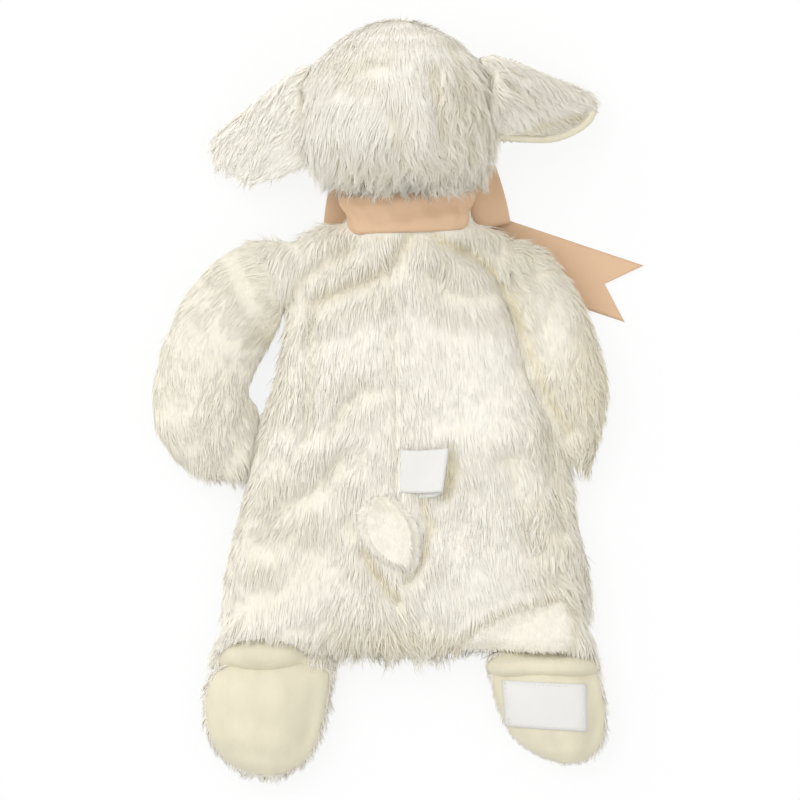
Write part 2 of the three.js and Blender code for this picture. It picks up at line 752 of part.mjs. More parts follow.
function buildRibbonEnd(side, angle) {
  const start = knotRadius + 2 * sewingGap;
  const rows = 9;
  const grid = (z) =>
    Array.from({ length: rows }, (_, i) => {
      const distance = THREE.MathUtils.lerp(start, ribbonEndLength, i / (rows - 1));
      const notch = i === rows - 1 ? ribbonNotchDepth : 0;
      return [-0.5, 0, 0.5].map((edge) => {
        const along = distance - (edge === 0 ? notch : 0);
        const [x, y] = fromKnot(angle, along, edge * flaredWidth(distance));
        return new THREE.Vector3(x, y, z);
      });
    });
  addPiece(`ribbon_end_${side}`, "ribbon", thickSheet(grid(ribbonThickness), grid(0)));
}

function buildBowLoop(side) {
  const start = knotRadius + 2 * sewingGap;
  const length = loopLength[side] - start;
  const stations = 16;
  const sections = Array.from({ length: stations }, (_, i) => {
    const angle = (2 * Math.PI * i) / stations;
    const reach = (1 - Math.cos(angle)) / 2;
    const ends = [0, ribbonThickness].map((skin) => ({
      distance: start + skin + (length - 2 * skin) * reach,
      z: loopUnderside + loopHeight / 2 + (loopHeight / 2 - skin) * Math.sin(angle),
    }));
    return [
      [ends[0], -0.5],
      [ends[0], 0.5],
      [ends[1], 0.5],
      [ends[1], -0.5],
    ].map(([end, edge]) => {
      const [x, y] = fromKnot(loopAngle[side], end.distance, edge * flaredWidth(end.distance));
      return new THREE.Vector3(x, y, end.z);
    });
  });
  addPiece(`bow_loop_${side}`, "ribbon", throughRings(sections, true));
}

buildBody();
buildStuffed("head", headRibs, headSteps, plushCover("back_plush"), velourCover("face_velour"));
buildFace();
buildEars();
for (const side of ["left", "right"]) {
  const covers = [plushCover("back_plush"), plushCover("front_plush")];
  buildStuffed(`arm_${side}`, armRibs[side], limbSteps, ...covers);
  buildStuffed(`foot_${side}`, footRibs[side], limbSteps, velourCover("sole"), plushCover("plush"));
}
buildFootLabel();
buildTail();
buildCareLabel();
buildNeckRibbon();
buildKnot();
for (const side of ["left", "right"]) {
  buildBowLoop(side);
}
buildRibbonEnd("left", leftEndAngle);
buildRibbonEnd("right", rightEndAngle);

// The origin is on the floor, under the middle of the whole toy.
const whole = new THREE.Box3().setFromObject(group);
const middle = whole.getCenter(new THREE.Vector3());
group.position.set(-middle.x, -middle.y, -whole.min.z);

export default group;
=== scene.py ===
"""The looks of a lamb comforter that lies face down: plush, velour, ribbon, labels and stitches.

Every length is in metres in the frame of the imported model: +Z up, +Y towards the crown of the head.
"""

import json
import math

import bmesh
import bpy
import numpy as np
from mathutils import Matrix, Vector, noise
from mathutils.bvhtree import BVHTree

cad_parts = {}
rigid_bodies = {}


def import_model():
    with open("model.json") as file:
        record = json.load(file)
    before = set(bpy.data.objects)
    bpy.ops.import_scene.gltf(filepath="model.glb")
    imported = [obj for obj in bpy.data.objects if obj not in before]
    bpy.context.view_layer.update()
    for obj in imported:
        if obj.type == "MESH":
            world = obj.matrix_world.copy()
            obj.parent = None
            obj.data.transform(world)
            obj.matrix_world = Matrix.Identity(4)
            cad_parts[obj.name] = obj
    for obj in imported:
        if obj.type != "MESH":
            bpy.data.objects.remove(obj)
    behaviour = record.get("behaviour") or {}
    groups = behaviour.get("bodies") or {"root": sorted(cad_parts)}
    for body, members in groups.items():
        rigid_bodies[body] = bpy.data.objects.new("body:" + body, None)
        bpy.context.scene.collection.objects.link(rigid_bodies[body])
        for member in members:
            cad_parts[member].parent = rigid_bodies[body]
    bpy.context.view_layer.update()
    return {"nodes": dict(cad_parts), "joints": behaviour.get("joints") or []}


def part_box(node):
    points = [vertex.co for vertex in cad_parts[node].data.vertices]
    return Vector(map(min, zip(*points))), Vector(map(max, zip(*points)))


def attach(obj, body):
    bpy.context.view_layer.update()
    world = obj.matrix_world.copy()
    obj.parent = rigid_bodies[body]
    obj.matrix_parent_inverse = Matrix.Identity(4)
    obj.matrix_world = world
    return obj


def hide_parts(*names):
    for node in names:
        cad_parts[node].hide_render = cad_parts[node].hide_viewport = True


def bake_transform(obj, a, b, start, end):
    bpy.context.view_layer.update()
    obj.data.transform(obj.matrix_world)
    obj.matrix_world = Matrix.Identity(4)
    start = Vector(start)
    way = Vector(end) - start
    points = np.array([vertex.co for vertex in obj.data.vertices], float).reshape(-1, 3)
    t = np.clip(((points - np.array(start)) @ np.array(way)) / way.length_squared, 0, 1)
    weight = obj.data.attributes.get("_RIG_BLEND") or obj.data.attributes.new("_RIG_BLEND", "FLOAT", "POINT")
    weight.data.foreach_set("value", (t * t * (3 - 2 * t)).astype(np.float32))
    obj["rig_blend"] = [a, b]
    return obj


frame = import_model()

bl_info = {
    "name": "Lamb Comforter Looks",
    "version": (1, 0, 0),
    "blender": (4, 5, 0),
    "location": "3D View > Sidebar > Lamb",
    "description": "Makes the plush, velour, ribbon, labels and stitches of a lamb comforter",
    "category": "Object",
}

MM = 0.001
NODES = frame["nodes"]

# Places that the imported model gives
SEAM_X = (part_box("body_back_left_plush")[1].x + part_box("body_back_right_plush")[0].x) / 2
BODY_SEAM_Z = (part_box("body_front_plush")[1].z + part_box("body_back_left_plush")[0].z) / 2
HEAD_SEAM_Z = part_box("head_face_velour")[1].z - 1.5 * MM
NECK_END_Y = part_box("body_front_plush")[1].y
ANKLE_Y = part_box("leg_left_cuff")[0].y
JOINTS = {joint["name"]: joint for joint in frame["joints"]}

# Room between cloth and floor, and how long the cloth simulation runs
FLOOR_GAP = 0.4 * MM
SWELL_FRAMES = 20

# The ribbon band in millimetres: its edge at the head, its middle, its height and its taper
BAND_TOP = 82.3
BAND_X = 3.6
BAND_Z = 15.2
BAND_TAPER = 5.4

# The bow in millimetres and degrees: its knot, how far its ends reach and the arcs that they slide over
KNOT = (5.05, 72.8)
RIBBON_END = 95
RIBBON_SLIDES = ((-122, -97), (-38.5, 21.5))

SIDES = ("left", "right")

# Where the body's pile is split into an upper and a lower piece
PILE_SPLIT_Y = -18 * MM

# How far from the cloth the lines of sight to it start
SIGHT_START = 0.1

# Camera, light and floor
CAMERA_X = 1.05 * MM
CAMERA_HEIGHT = 2.4
VIEW_WIDTH = 320 * MM
WORLD_LIGHT = 0.79
FLOOR_WHITE = 0.85


def mm(*numbers):
    """A point or a size given in millimetres."""
    return Vector(numbers) * MM


# Settings


def number_setting(label, what, value, **options):
    return bpy.props.FloatProperty(name=label, description=what, default=value, **options)


def length_setting(label, what, millimetres):
    return number_setting(label, what, millimetres * MM, unit="LENGTH")


def colour_setting(label, what, value):
    return bpy.props.FloatVectorProperty(
        name=label, description=what, default=value, size=3, min=0, max=1, subtype="COLOR")


class LambPileSettings(bpy.types.PropertyGroup):
    """Sizes of the plush pile."""

    length: length_setting("Pile length", "Length of a strand of the long pile", 10)
    width: length_setting("Strand width", "Width of a strand at its root", 0.46)
    density: number_setting("Strands per square millimetre", "Density of the pile on the back", 1.4)
    front_share: number_setting(
        "Front share", "Density on the hidden front, as a share of the back's", 0.42, subtype="FACTOR")
    inset: length_setting("Pile thickness", "How deep the backing cloth lies under the pile's tips", 1.7)
    seed: bpy.props.IntProperty(name="Seed", description="Seed of everything random", default=11)


class LambClothSettings(bpy.types.PropertyGroup):
    """Sizes of the smooth cloths and the ribbon."""

    ribbon_thickness: length_setting("Ribbon thickness", "Thickness of the ribbon", 0.45)
    tape_thickness: length_setting("Tape thickness", "Thickness of the label tape", 0.35)
    voxel: length_setting("Cloth grain", "Edge length of the soft covers' faces", 2.2)
    pressure: number_setting("Stuffing pressure", "Pressure that swells the stuffed covers", 4.0)


class LambColourSettings(bpy.types.PropertyGroup):
    """Colours of the finishes, as linear values."""

    pile_tip: colour_setting("Pile tip", "Plush pile at its tips", (0.985, 0.958, 0.885))
    # the root colour is painted shade deep in the pile: darker and warmer than the tip
    pile_root: colour_setting("Pile root", "Plush pile near the backing", (0.955, 0.91, 0.79))
    backing: colour_setting("Backing", "Cloth under the pile", (0.945, 0.90, 0.785))
    velour: colour_setting("Velour", "Nap of soles, cuffs, face and ear linings", (0.76, 0.71, 0.545))
    ribbon: colour_setting("Ribbon", "Woven ribbon", (0.75, 0.51, 0.325))
    label: colour_setting("Label tape", "Bare woven tape", (0.79, 0.78, 0.75))
    thread: colour_setting("Thread", "Embroidery thread of the face", (0.20, 0.125, 0.085))
    seam_thread: colour_setting("Seam thread", "Thread of the visible seams", (0.80, 0.76, 0.64))
    wadding: colour_setting("Filling", "Polyester fibre", (0.90, 0.90, 0.88))


def settings():
    return bpy.context.scene


# Node trees


class Value:
    """A number that a node gives; arithmetic with it adds nodes."""

    def __init__(self, nodes, socket):
        self.nodes = nodes
        self.socket = socket

    def __add__(self, other):
        return self.nodes.math("ADD", self, other)

    def __sub__(self, other):
        return self.nodes.math("SUBTRACT", self, other)

    def __rsub__(self, other):
        return self.nodes.math("SUBTRACT", other, self)

    def __mul__(self, other):
        return self.nodes.math("MULTIPLY", self, other)

    def __truediv__(self, other):
        return self.nodes.math("DIVIDE", self, other)


class Arrow(Value):
    """A vector that a node gives; times a number it is scaled."""

    def __add__(self, other):
        return self.nodes.vector("ADD", self, other)

    def __sub__(self, other):
        return self.nodes.vector("SUBTRACT", self, other)

    def __mul__(self, factor):
        node = self.nodes.add("ShaderNodeVectorMath", {0: self, "Scale": factor}, operation="SCALE")
        return Arrow(self.nodes, node.outputs[0])


class Nodes:
    """Builds a node tree, node by node."""

    def __init__(self, tree):
        self.tree = tree

    def add(self, kind, inputs=(), **options):
        node = self.tree.nodes.new(kind)
        for key, value in options.items():
            setattr(node, key, value)
        for key, value in dict(inputs).items():
            self.feed(node.inputs[key], value)
        return node

    def feed(self, socket, value):
        if isinstance(value, Value):
            value = value.socket
        if isinstance(value, bpy.types.NodeSocket):
            self.tree.links.new(value, socket)
        elif socket.type == "RGBA":
            socket.default_value = (*tuple(value)[:3], 1.0)
        else:
            socket.default_value = value

    def value(self, kind, inputs, output=0, **options):
        return Value(self, self.add(kind, inputs, **options).outputs[output])

    def math(self, operation, *numbers):
        return self.value("ShaderNodeMath", enumerate(numbers), operation=operation)

    def vector(self, operation, *arrows):
        node = self.add("ShaderNodeVectorMath", enumerate(arrows), operation=operation)
        return Arrow(self, node.outputs[0])

    def parts(self, vector):
        node = self.add("ShaderNodeSeparateXYZ", {0: vector})
        return [Value(self, output) for output in node.outputs]


# Materials


class Shader(Nodes):
    """A material with one Principled shader."""

    def __init__(self, name, roughness, sheen=0.0, sheen_roughness=0.5, specular=0.3):
        self.material = bpy.data.materials.new(name)
        self.material.use_nodes = True
        super().__init__(self.material.node_tree)
        self.shader = self.tree.nodes["Principled BSDF"]
        self.shader.inputs["Roughness"].default_value = roughness
        self.shader.inputs["Sheen Weight"].default_value = sheen
        self.shader.inputs["Sheen Roughness"].default_value = sheen_roughness
        self.shader.inputs["Specular IOR Level"].default_value = specular

    def mix(self, share, a, b, blend="MIX"):
        node = self.add("ShaderNodeMix", {0: share, 6: a, 7: b}, data_type="RGBA", blend_type=blend)
        return node.outputs[2]

    def ramp(self, share, low, high):
        return self.value("ShaderNodeMapRange", {"Value": share, "From Min": low, "From Max": high})

    def place(self, scale=(1, 1, 1), turn=0.0):
        """Object coordinates in millimetres, stretched and turned about Z."""
        return self.value("ShaderNodeMapping", {
            "Vector": self.add("ShaderNodeTexCoord").outputs["Object"],
            "Rotation": (0, 0, turn),
            "Scale": tuple(s / MM for s in scale),
        })

    def noise(self, vector, scale, detail=3.0, roughness=0.55):
        return self.value("ShaderNodeTexNoise", {
            "Vector": vector, "Scale": scale, "Detail": detail, "Roughness": roughness}, "Fac")

    def bump(self, height, strength, distance):
        node = self.add("ShaderNodeBump", {"Height": height, "Strength": strength, "Distance": distance})
        self.feed(self.shader.inputs["Normal"], node.outputs[0])

    def colour(self, value):
        self.feed(self.shader.inputs["Base Color"], value)

    def map(self, name):
        """A map of the mesh."""
        return self.add("ShaderNodeUVMap", uv_map=name).outputs[0]


def scaled(colour, factor):
    return tuple(min(c * factor, 1.0) for c in colour)


def pile_material():
    """Strands: painted shade towards the root, a tone of its own for each strand and lock, and painted shade
    in folds and shaded patches.
    """
    colours = settings().lamb_colours
    s = Shader("plush_pile", 0.72, sheen=0.25, sheen_roughness=0.45, specular=0.25)
    tone, height, _ = s.parts(s.map("OFBake"))
    # painted shade deep in the pile: each strand is darker and warmer towards its root
    along = s.math("POWER", s.ramp(height, 0.0, 0.62), 0.8)
    strand = s.mix(along, colours.pile_root, colours.pile_tip)
    # a duller colour for each strand's own random tone and for light painted shade
    duller_tone_and_shade = s.mix(1.0, strand, (0.912, 0.897, 0.845), "MULTIPLY")
    # painted shade: the dark warm colour that strands take in folds and shaded patches
    folded = s.mix(1.0, strand, (0.85, 0.785, 0.585), "MULTIPLY")
    own = s.mix(s.ramp(tone, 0.60, 0.94), duller_tone_and_shade, strand)
    s.colour(s.mix(s.ramp(tone, 0.03, 0.60), folded, own))
    return s.material


def backing_material():
    """The knitted cloth under the pile, seen only between locks, darker in soft patches as painted shade in
    the gaps.
    """
    backing = settings().lamb_colours.backing
    s = Shader("plush_backing", 0.95, sheen=0.2)
    # painted shade: soft darker patches so the gaps between locks look deeper
    spots = s.noise(s.place(), 0.35, 4)
    s.colour(s.mix(s.ramp(spots, 0.3, 0.7), scaled(backing, 0.86), backing))
    s.bump(s.noise(s.place((1, 0.16, 1)), 1.6, 3), 0.6, 0.8 * MM)
    return s.material


def velour_material(name, turn=0.0):
    """Short nap: soft brushed patches that catch the light, over a fine grain."""
    velour = settings().lamb_colours.velour
    s = Shader(name, 0.85, sheen=0.35, sheen_roughness=0.35, specular=0.2)
    patches = s.noise(s.place((1, 0.5, 1), turn), 0.09, 3)
    grain = s.noise(s.place(), 2.4, 2)
    # painted sheen: patches of the nap lighter and darker where it catches the light
    brushed = s.mix(s.ramp(patches, 0.36, 0.64), scaled(velour, 0.93), scaled(velour, 1.04))
    s.colour(s.mix(s.ramp(grain, 0.2, 0.8), s.mix(0.5, brushed, scaled(velour, 0.9)), brushed))
    fine = s.noise(s.place((1, 0.4, 1), turn), 3.2, 2)
    s.bump(fine * 0.6 + patches * 0.8, 0.5, 0.35 * MM)
    return s.material


def woven_material(name, colour, threads, contrast, sheen):
    """A plain weave that follows the piece's own map: u across in centimetres, v along."""
    s = Shader(name, 0.55, sheen=sheen, sheen_roughness=0.3, specular=0.35)
    uv = s.map("UVMap")
    across, along, _ = s.parts(uv)
    warp = s.math("SINE", across * (2 * math.pi * threads[0]))
    weft = s.math("SINE", along * (2 * math.pi * threads[1]))
    weave = warp * weft
    stretched = s.value("ShaderNodeMapping", {"Vector": uv, "Scale": (3, 40, 1)})
    slubs = s.noise(stretched, 4.0, 3.0, 0.5)
    cloth = s.mix(s.ramp(weave, -1.0, 1.0), scaled(colour, 1 - contrast), scaled(colour, 1 + contrast))
    s.colour(s.mix(s.ramp(slubs, 0.3, 0.7), s.mix(0.35, cloth, scaled(colour, 0.86)), cloth))
    s.bump(weave * 0.5 + slubs, 0.35, 0.12 * MM)
    return s.material


def thread_material(name, colour):
    """Twisted embroidery thread."""
    s = Shader(name, 0.6, sheen=0.3, sheen_roughness=0.3)
    twist = s.noise(s.place(), 2.5, 3)
    s.colour(s.mix(s.ramp(twist, 0.3, 0.7), scaled(colour, 0.7), scaled(colour, 1.25)))
    s.bump(twist, 0.5, 0.2 * MM)
    return s.material


def wadding_material():
    """Loose polyester fibre."""
    wadding = settings().lamb_colours.wadding
    s = Shader("wadding", 0.95, sheen=0.5)
    fibres = s.noise(s.place((1, 0.2, 0.5)), 1.4, 5, 0.7)
    s.colour(s.mix(s.ramp(fibres, 0.3, 0.7), scaled(wadding, 0.85), wadding))
    s.bump(fibres, 0.9, 1.0 * MM)
    return s.material


def material(name):
    """A finish by name, made once."""
    known = bpy.data.materials.get(name)
    if known:
        return known
    colours = settings().lamb_colours
    makers = {
        "plush_pile": pile_material,
        "plush_backing": backing_material,
        "velour_nap": lambda: velour_material("velour_nap"),
        "velour_sole": lambda: velour_material("velour_sole", 0.4),
        "ribbon_weave": lambda: woven_material("ribbon_weave", colours.ribbon, (20, 17), 0.06, 0.35),
        "label_weave": lambda: woven_material("label_weave", colours.label, (14, 14), 0.08, 0.1),
        "face_thread": lambda: thread_material("face_thread", colours.thread),
        "seam_thread": lambda: thread_material("seam_thread", colours.seam_thread),
        "wadding": wadding_material,
    }
    return makers[name]()


# Meshes


def add_object(name, mesh, finish=None):
    piece = bpy.data.objects.new(name, mesh)
    bpy.context.scene.collection.objects.link(piece)
    if finish:
        mesh.materials.clear()
        mesh.materials.append(material(finish))
    return piece


def remove_object(piece):
    mesh = piece.data
    bpy.data.objects.remove(piece)
    bpy.data.meshes.remove(mesh)


def evaluated_mesh(piece):
    """The piece's mesh with its modifiers applied, as a plain mesh."""
    graph = bpy.context.evaluated_depsgraph_get()
    return bpy.data.meshes.new_from_object(piece.evaluated_get(graph))


def read(items, key, width=3, kind=float):
    """A row of values for each item of a mesh."""
    values = np.empty(len(items) * width, kind)
    items.foreach_get(key, values)
    return values.reshape(-1, width)


def points_of(mesh):
    return read(mesh.vertices, "co")


def normals_of(mesh):
    return read(mesh.vertex_normals, "vector")


def set_points(mesh, points):
    mesh.vertices.foreach_set("co", np.asarray(points, np.float32).ravel())
    mesh.update()


def ramp(values, start, span):
    """0 up to a start, 1 from the end of a span on, and even between; the span may run downwards."""
    return np.clip((values - start) / span, 0, 1)


def smooth_points(mesh, rounds, share=0.5):
    """Moves each point towards the mean of its neighbours and then part of the way back, to keep the size."""
    a, b = read(mesh.edges, "vertices", 2, int).T
    count = np.bincount(a, minlength=len(mesh.vertices)) + np.bincount(b, minlength=len(mesh.vertices))
    points = points_of(mesh)
    for step in range(2 * rounds):
        total = np.stack([
            np.bincount(a, points[b, axis], len(points)) + np.bincount(b, points[a, axis], len(points))
            for axis in range(3)
        ], axis=1)
        factor = share if step % 2 == 0 else -share * 0.96
        points += factor * (total / np.maximum(count, 1)[:, None] - points)
    set_points(mesh, points)


def bmesh_of(*meshes):
    bm = bmesh.new()
    for mesh in meshes:
        bm.from_mesh(mesh)
    return bm


def mesh_of(bm, name):
    """The bmesh as a new mesh; the bmesh itself is given up."""
    mesh = bpy.data.meshes.new(name)
    bm.to_mesh(mesh)
    bm.free()
    return mesh


def largest_island(mesh):
    """Leaves only the island of faces with the most points."""
    bm = bmesh_of(mesh)
    left = set(bm.verts)
    best = set()
    while left:
        stack = [left.pop()]
        island = set(stack)
        while stack:
            for edge in stack.pop().link_edges:
                for vert in edge.verts:
                    if vert in left:
                        left.discard(vert)
                        island.add(vert)
                        stack.append(vert)
        if len(island) > len(best):
            best = island
    bmesh.ops.delete(bm, geom=[v for v in bm.verts if v not in best], context="VERTS")
    bm.to_mesh(mesh)
    bm.free()


def ellipsoid(bm, centre, radii, turn=0.0):
    """Adds a closed ellipsoid, turned about Z, to a bmesh."""
    made = bmesh.ops.create_uvsphere(bm, u_segments=20, v_segments=12, radius=1.0)
    c, s = math.cos(turn), math.sin(turn)
    for vert in made["verts"]:
        x, y, z = (a * b for a, b in zip(vert.co, radii))
        vert.co = Vector(centre) + Vector((c * x - s * y, s * x + c * y, z))


def soft_skin(name, nodes, voxel, inset, stubs=(), rounds=6):
    """A smooth closed skin round some CAD nodes, drawn in by the inset.

    Stubs are ellipsoids (centre, radii, turn) that carry the skin on into its neighbour."""
    bm = bmesh_of(*(NODES[node].data for node in nodes))
    for centre, radii, turn in stubs:
        ellipsoid(bm, centre, radii, turn)
    piece = add_object(name, mesh_of(bm, name))
    remesh = piece.modifiers.new("skin", "REMESH")
    remesh.mode = "VOXEL"
    remesh.voxel_size = voxel
    skin = evaluated_mesh(piece)
    remove_object(piece)
    largest_island(skin)
    smooth_points(skin, rounds)
    draw_in(skin, inset)
    keep_off_floor(skin)
    return skin


def draw_in(skin, inset, steps=3):
    """Moves a skin inwards, less at its sides than above and below.

    The inset is a depth, or a function that gives the depth of each point."""
    for _ in range(steps):
        points, normals = points_of(skin), normals_of(skin)
        depth = inset(points) if callable(inset) else inset
        depth = depth * (0.2 + 0.8 * np.abs(normals[:, 2]))
        set_points(skin, points - normals * depth[:, None] / steps)
        smooth_points(skin, 2)


def keep_off_floor(mesh, height=FLOOR_GAP):
    points = points_of(mesh)
    points[:, 2] = np.maximum(points[:, 2], height)
    set_points(mesh, points)


def swell(mesh, cap):
    """Stuffs a closed skin: a cloth simulation with inner pressure, its moves capped in millimetres."""
    piece = add_object("swelling", mesh.copy())
    cloth = piece.modifiers.new("cloth", "CLOTH")
    cloth.settings.use_pressure = True
    cloth.settings.uniform_pressure_force = settings().lamb_cloth.pressure
    cloth.settings.mass = 0.15
    cloth.settings.tension_stiffness = 12
    cloth.settings.compression_stiffness = 12
    cloth.settings.bending_stiffness = 0.3
    cloth.settings.effector_weights.gravity = 0.0
    cloth.collision_settings.use_collision = False
    cloth.point_cache.frame_start = 1
    cloth.point_cache.frame_end = SWELL_FRAMES
    scene = bpy.context.scene
    for step in range(1, SWELL_FRAMES + 1):
        scene.frame_set(step)
    result = evaluated_mesh(piece)
    before, after = points_of(mesh), points_of(result)
    move = after - before
    move[:, :2] *= 0.25
    length = np.linalg.norm(move, axis=1, keepdims=True)
    set_points(mesh, before + move * np.minimum(1.0, cap * MM / np.maximum(length, 1e-9)))
    remove_object(piece)
    bpy.data.meshes.remove(result)
    scene.frame_set(1)
    keep_off_floor(mesh)


def cut(mesh, point, normal):
    """The closed part of a closed skin on the normal's side of a plane."""
    bm = bmesh_of(mesh)
    geometry = bm.verts[:] + bm.edges[:] + bm.faces[:]
    done = bmesh.ops.bisect_plane(
        bm, geom=geometry, plane_co=point, plane_no=normal, clear_inner=True, dist=1e-6)
    edges = [e for e in done["geom_cut"] if isinstance(e, bmesh.types.BMEdge)]
    bmesh.ops.triangle_fill(bm, use_beauty=True, edges=edges, normal=-Vector(normal))
    bmesh.ops.recalc_face_normals(bm, faces=bm.faces)
    return mesh_of(bm, "part")


def above(mesh, height):
    return cut(mesh, (0, 0, height), (0, 0, 1))


def below(mesh, height):
    return cut(mesh, (0, 0, height), (0, 0, -1))


def line_distance(points, line):
    """Distance in plan from each point to a line of places."""
    best = np.full(len(points), 1e9)
    for (ax, ay), (bx, by) in zip(line[:-1], line[1:]):
        d = np.array([bx - ax, by - ay])
        t = np.clip(((points[:, :2] - (ax, ay)) @ d) / (d @ d), 0, 1)
        spot = np.array([ax, ay]) + t[:, None] * d
        best = np.minimum(best, np.linalg.norm(points[:, :2] - spot, axis=1))
    return best


def noise_field(points, size, offset=0.0):
    """Smooth noise vectors with features of the given size, one for each point."""
    shift = Vector((offset, 2.3 * offset, -offset))
    return np.array([noise.noise_vector(Vector(p) / size + shift) for p in points])


def attribute(mesh, name, kind, values):
    data = mesh.attributes.new(name, kind, "POINT")
    key = "vector" if kind == "FLOAT_VECTOR" else "value"
    data.data.foreach_set(key, np.asarray(values, np.float32).ravel())


# Folds: lines in plan in millimetres, with depth, half width and depth of the painted shade in them
BODY_FOLDS = [
    ([(6, 66), (0, 57), (-7, 50), (-19, 45), (-31, 40)], 4.2, 4.4, 0.6),
    ([(-33, 40), (-35, 24), (-34.5, 4), (-36, -15)], 2.6, 3.6, 0.35),
    ([(-19, 60), (-28, 55), (-37, 49), (-45, 38), (-49, 27)], 2.6, 3.4, 0.5),
    ([(-2.5, 50), (-3.2, 40), (-1.6, 28), (-1.4, 10), (-0.3, -14), (-0.6, -40)], 0.9, 1.8, 0.3),
    ([(13, 67), (19, 62.5), (27, 59.5)], 3.6, 2.8, 1.0),
    ([(15, 50), (20, 44), (27, 41.5), (35, 42)], 2.4, 3.8, 0.3),
    ([(28, 60), (38, 51.5), (43, 45.6), (46.5, 36)], 3.2, 2.4, 0.9),
    ([(-14, 4), (-21, -2), (-26, -12)], 2.4, 4.2, 0.35),
    ([(-24, -24), (-32, -35), (-42, -41), (-49, -48), (-54, -57)], 3.2, 5.2, 0.35),
    ([(-13, -60), (-8, -70), (0, -80)], 2.6, 2.6, 1.0),
    ([(10, -40), (13, -50), (11, -62), (4, -72)], 1.8, 2.4, 0.8),
    ([(20.5, -20), (22.5, -28), (19, -38)], 1.4, 3.0, 0.95),
    ([(-18, -38), (-20, -50), (-15, -62)], 1.2, 2.8, 0.3),
    ([(-58, -20), (-66, -27)], 1.6, 3.0, 0.4),
    ([(44, -24), (50, -44), (54, -60)], 2.2, 4.2, 0.3),
    ([(60, -14), (63, -34), (66, -52)], 1.6, 2.6, 0.45),
]
PATCH_FOLDS = [
    ([(23, -99), (31, -91), (42, -85), (54, -81.5), (67, -78.5)], 1.8, 1.7, 0.8),
    ([(69, -79), (71, -90), (70, -102)], 1.0, 1.8, 0.5),
]
HEAD_FOLDS = [
    ([(-21, 126), (-13, 131), (-5, 133.6)], 0.7, 5.5, 0.4),
    ([(14, 128), (16.5, 116), (18, 104)], 1.8, 3.4, 0.5),
    ([(-37, 127), (-40, 112), (-38, 94)], 2.0, 3.0, 0.5),
    ([(35.5, 130), (39, 114), (39.5, 100)], 2.4, 2.8, 0.9),
    ([(-1, 113), (1, 100)], 1.2, 3.4, 0.4),
    ([(21, 139), (25, 131), (27, 120)], 1.4, 2.8, 0.45),
    ([(-24, 100), (-22, 90)], 1.2, 3.0, 0.35),
    ([(27, 106), (29, 94)], 1.2, 2.6, 0.5),
]
ARM_FOLDS = {
    "left": [([(-47, 44), (-50, 28), (-54, 12), (-58, -6)], 0.8, 3.0, 0.5),
             ([(-62, 52), (-58, 42), (-52, 34)], 1.8, 4.0, 0.4)],
    "right": [([(38, 56), (43, 47), (48, 34), (53.5, 18), (60, 1), (68, -12)], 1.4, 3.2, 0.8),
              ([(58, 2), (66, -8), (70, -24)], 1.2, 3.4, 0.4)],
}

# Smooth and untidy places of the pile: place, radii and untidiness
BODY_SPOTS = [
    ((-52, 0), (12, 34), 0.8), ((21, 22), (25, 17), 0.04), ((25, -7), (19, 12), 0.2),
    ((58, -30), (11, 38), 1.0), ((26, 54), (12, 9), 0.9), ((50, 60), (18, 12), 1.0),
    ((-38, 58), (18, 9), 0.35), ((-48, -72), (26, 22), 0.06), ((28, -73), (24, 14), 0.1),
    ((67, -70), (9, 16), 0.9), ((4, -98), (36, 10), 1.1), ((-17, -92), (12, 14), 1.0),
]
HEAD_SPOTS = [
    ((-12, 130), (30, 26), 0.0), ((24, 110), (14, 28), 1.0), ((0, 90), (34, 9), 1.1),
    ((-28, 108), (13, 22), 0.1), ((4, 144), (26, 10), 0.15),
]
ARM_SPOTS = {
    "left": [((-68, -8), (13, 26), 0.8), ((-53, 28), (7, 9), 0.8)],
    "right": [((63, 30), (11, 16), 0.1), ((80, 10), (9, 50), 1.1)],
}

# Places of painted shade in the pile, duller and warmer where less light falls: place, radii and depth of the
# painted shade
BODY_SHADE_PATCHES = [
    ((-48, -62), (26, 34), 0.3), ((68, -40), (14, 50), 0.3), ((50, 60), (20, 10), 0.3),
    ((-56, 10), (12, 34), 0.25), ((0, -98), (34, 9), 0.4), ((20, 20), (18, 14), 0.16),
    ((54, -91), (15, 9), 0.3),
]
HEAD_SHADE_PATCHES = [((30, 104), (16, 34), 0.26), ((0, 90), (36, 9), 0.22), ((-18, 128), (14, 12), 0.2)]
ARM_SHADE_PATCHES = {
    "left": [((-54, 50), (12, 9), 0.4), ((-68, -8), (12, 26), 0.25)],
    "right": [((60, 34), (10, 14), 0.25), ((82, 10), (12, 60), 0.46), ((72, -22), (14, 16), 0.4)],
}


def fold_shade(points, folds, shade_patches=(), base=0.0):
    """How much painted shade each point takes, from 0 to 1: in the folds and the shaded patches, over a base.
    """
    shade = by_place(points, shade_patches, base)
    # colour is how deep the painted shade in the fold is
    for line, _, width, colour in folds:
        gap = line_distance(points / MM, line)
        shade = np.maximum(shade, colour * np.exp(-((gap / (0.85 * width)) ** 2)))
    return shade


def press_folds(mesh, folds, floor, share=1.0):
    """Sinks folds into the side of a skin above a height, with soft banks beside them."""
    points = points_of(mesh)
    upper = ramp(points[:, 2], floor, 5 * MM)
    for line, depth, width, _ in folds:
        gap = line_distance(points / MM, line)
        valley = np.exp(-((gap / width) ** 2))
        banks = 0.24 * np.exp(-(((gap - 2.2 * width) / width) ** 2))
        points[:, 2] -= upper * share * depth * MM * (valley - banks)
    set_points(mesh, points)


def add_puffs(mesh, floor, height, offset):
    """Soft swellings of the slack cloth above a height."""
    points = points_of(mesh)
    upper = ramp(points[:, 2], floor, 5 * MM)
    puffs = noise_field(points, 34 * MM, offset)[:, 2] + 0.5 * noise_field(points, 15 * MM, offset + 4)[:, 0]
    points[:, 2] += upper * height * puffs
    set_points(mesh, points)


